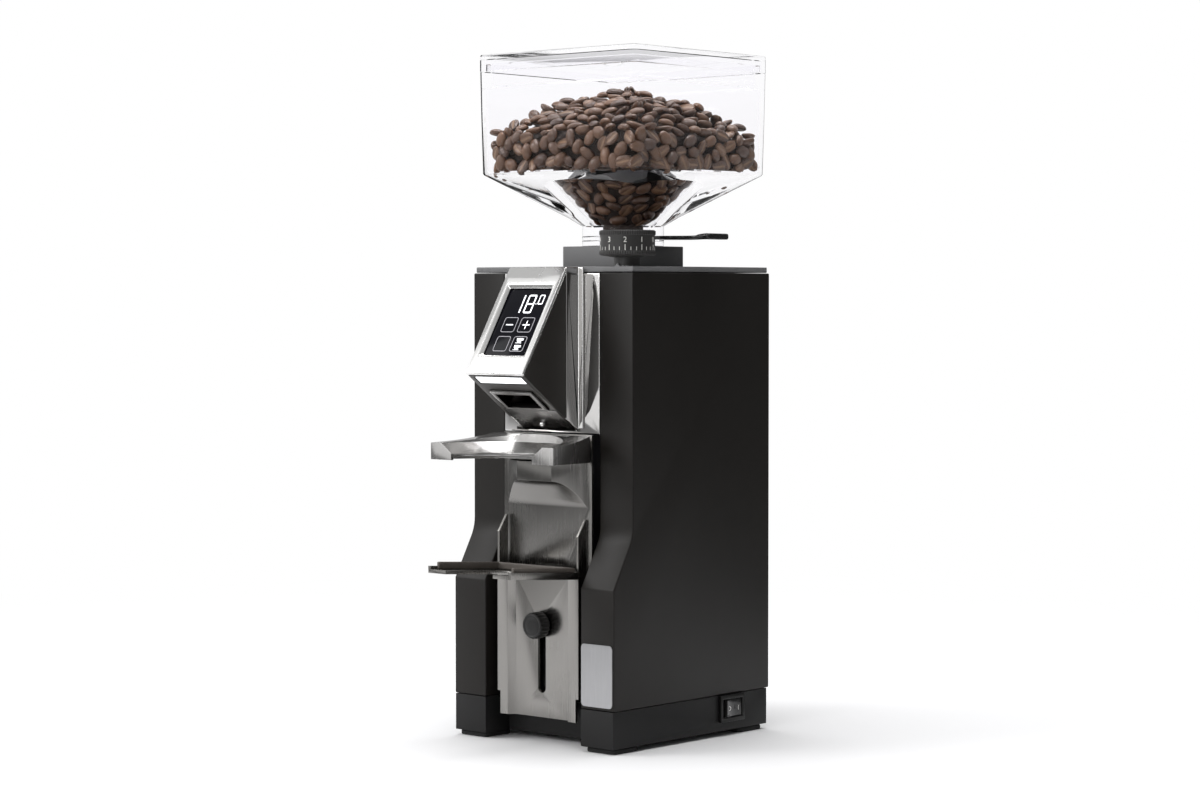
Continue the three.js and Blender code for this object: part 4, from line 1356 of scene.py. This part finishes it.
    def core(self) -> None:
        """Make the dark mass that closes the gaps between the beans: it stands in for the deeper beans, and
        its dark brown is painted shade.
        """
        rows = [(11.5, 11.5, 11.5, 283.9), (11.5, 11.5, 11.5, 291.5), (33.0, 33.0, 33.0, 316.5),
                (38.0, 38.0, 37.0, 324.0), (48.4, 48.0, 5.0, 326.0), (49.6, 49.2, 5.0, 334.5)]
        rows += [(50.5 * s, 50.0 * s, 5.0 * s, self.height(s) - 3.4) for s in (0.86, 0.6, 0.3, 0.05)]
        form = Form()
        form.loft(self.rings(rows), place=Matrix.Translation(self.centre))
        # painted shade: this dark solid stands in for the deeper beans, in shade between the visible ones
        core = piece_from("bean_core", "machine", BEAN_SHADE_MASS, form.verts, form.faces)
        declare(core, "roasted_beans", "bean_heap")


@dataclass
class Dial:
    """The knurled grind dial and its scale."""

    teeth: int = 72
    tooth: float = 0.42
    scale_low: float = 273.9
    scale_step: float = 0.35
    digit_middle: float = 279.9
    digit_count: int = 10
    digit_size: float = 4.2
    mark_depth: float = 0.05
    first_mark: float = 72.0
    tick_turn: float = 12.0
    ticks: tuple[Span, ...] = ((3.1, 0.42), (1.9, 0.34), (1.9, 0.34))
    grip_steps: int = 504

    def build(self) -> None:
        """Make the dial and its marks."""
        low, high = limits("dial")
        axis = Vector(((low.x + high.x) / 2, (low.y + high.y) / 2, 0.0))
        radius = (high.x - low.x) / 2 / MM
        self.grip(axis, radius)
        self.marks(axis, radius - self.scale_step)
        dress("dial_spindle", TOOL_STEEL)
        dress("dial_pinion", TOOL_STEEL)

    def grip(self, axis: Vector, radius: float) -> None:
        """Make the dial's body with its knurled bands.

        Args:
            axis: A point on its axis.
            radius: Its radius in millimetres.
        """
        def tooth(angle: float) -> float:
            """Depth of the knurling at an angle, as a change of radius."""
            return -self.tooth * MM * (0.5 - 0.5 * math.cos(self.teeth * angle))

        stations = [
            (3.3, 266.1, False), (7.3, 266.1, False), (7.3, 270.4, False), (14.6, 271.6, False),
            (radius - 0.35, 271.9, False), (radius, 272.2, True), (radius, 273.5, True),
            (radius - 0.3, 273.8, False), (radius - 0.38, 273.9, False), (radius - 0.38, 282.5, False),
            (radius - 0.3, 282.6, False), (radius, 282.9, True), (radius, 284.7, True),
            (radius - 0.4, 285.1, False), (radius - 0.9, 285.3, False), (radius - 1.8, 285.3, False),
            (radius - 2.1, 285.0, False), (4.4, 285.0, False), (4.1, 285.25, False),
        ]
        rings = [circle(r * MM, z * MM, self.grip_steps, tooth if cut else None) for r, z, cut in stations]
        form = Form()
        form.loft(rings, place=Matrix.Translation(axis))
        grip = piece_from("dial_grip", "dial_group", DIAL_BLACK, form.verts, form.faces, 30.0)
        declare(grip, "knob_black", "dial")

    def wrapped(self, form: Form, axis: Vector, radius: float, angle: float, height: float) -> list[Vector]:
        """Return a flat sign's points laid round the dial.

        Args:
            form: The sign, in XY with its face up.
            axis: A point on the dial's axis.
            radius: The scale's radius in metres.
            angle: Where the sign's middle goes, in radians from the front towards +X.
            height: Height of its middle in metres.

        Returns:
            Its points.
        """
        placed = []
        for v in form.verts:
            turn = angle + v.x / radius
            out = radius + v.z
            placed.append(axis + Vector((out * math.sin(turn), -out * math.cos(turn), height + v.y)))
        return placed

    def marks(self, axis: Vector, radius: float) -> None:
        """Add the digits from 0 to 9, which run against the clock, and the ticks.

        Args:
            axis: A point on the dial's axis.
            radius: The scale's radius in millimetres.
        """
        depth = self.mark_depth * MM
        low = (self.scale_low + self.scale_step) * MM
        gathered = Form()
        for number in range(self.digit_count):
            angle = math.radians(self.first_mark - 360 / self.digit_count * (number - 1))
            digit = text_form(str(number), self.digit_size * MM, depth)
            points = self.wrapped(digit, axis, radius * MM, angle, self.digit_middle * MM)
            gathered.take(points, digit.faces)
            for step, (tall, wide) in enumerate(self.ticks):
                tick = Form()
                tick.slab((-wide / 2 * MM, wide / 2 * MM), (0.0, tall * MM), (-depth / 2, depth / 2))
                turned = angle - math.radians(self.tick_turn * step)
                gathered.take(self.wrapped(tick, axis, radius * MM, turned, low), tick.faces)
        marks = piece_from("dial_marks", "dial_group", MARK, gathered.verts, gathered.faces, None)
        declare(marks, "label_silver")


@dataclass
class MainsSwitch:
    """The rocker switch in the foot, with its two signs."""

    sign: float = 2.6
    pen: float = 0.4
    depth: float = 0.05
    recess: float = 0.9

    def build(self) -> None:
        """Finish the switch and add its signs."""
        dress("power_rocker", GLOSS_BLACK, 0.35 * MM)
        dress("switch_frame", MOULDED_BLACK, 0.35 * MM)
        self.signs()

    def signs(self) -> None:
        """Add a ring and a bar to the rocker's two ends."""
        low, high = limits("power_rocker")
        centre = (low + high) / 2
        form = Form()
        quarter = (high.y - low.y) / 4
        half, pen, depth = self.sign / 2 * MM, self.pen * MM, self.depth * MM
        outer = [rounded_ring(half, half, half, z, 6) for z in (0.0, depth)]
        inner = [rounded_ring(half - pen, half - pen, half - pen, z, 6) for z in (depth, 0.0)]
        out = high.x - self.recess * MM
        face = Matrix.Rotation(math.pi / 2, 4, "Y")
        ring_at, bar_at = (Matrix.Translation((out, centre.y + shift, centre.z)) @ face
                           for shift in (-quarter, quarter))
        form.loft([*outer, *inner], place=ring_at, closed=True)
        form.slab((-half, half), (-pen / 2, pen / 2), (0.0, depth), bar_at)
        declare(piece_from("switch_signs", "rocker", MARK, form.verts, form.faces, None), "lamp_white")


@dataclass
class Works:
    """The motor, grinding chamber, gears and board inside the casing."""

    def build(self) -> None:
        """Finish the inner parts."""
        for node in ("grinding_chamber", "upper_burr_holder", "lower_burr_carrier", "adjuster_ring",
                     "run_capacitor"):
            dress(node, CAST)
        for node in ("upper_burr", "lower_burr", "drive_shaft", "motor_rotor", "motor_bearing_upper",
                     "motor_bearing_lower", "idler_gear", "motor_stator"):
            dress(node, TOOL_STEEL)
        for node in ("stator_winding_lower", "stator_winding_upper"):
            dress(node, COPPER)
        dress("motor_housing", MOTOR)
        dress("cooling_fan", MOULDED_BLACK)
        dress("power_board", BOARD)


def main() -> None:
    """Build the picture."""
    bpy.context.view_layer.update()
    for part in (Studio(), Casing(), Head(), Forks(), Hopper(), Dial(), MainsSwitch(), Works()):
        log.info("building %s", type(part).__name__)
        part.build()


if __name__ == "__main__":
    main()
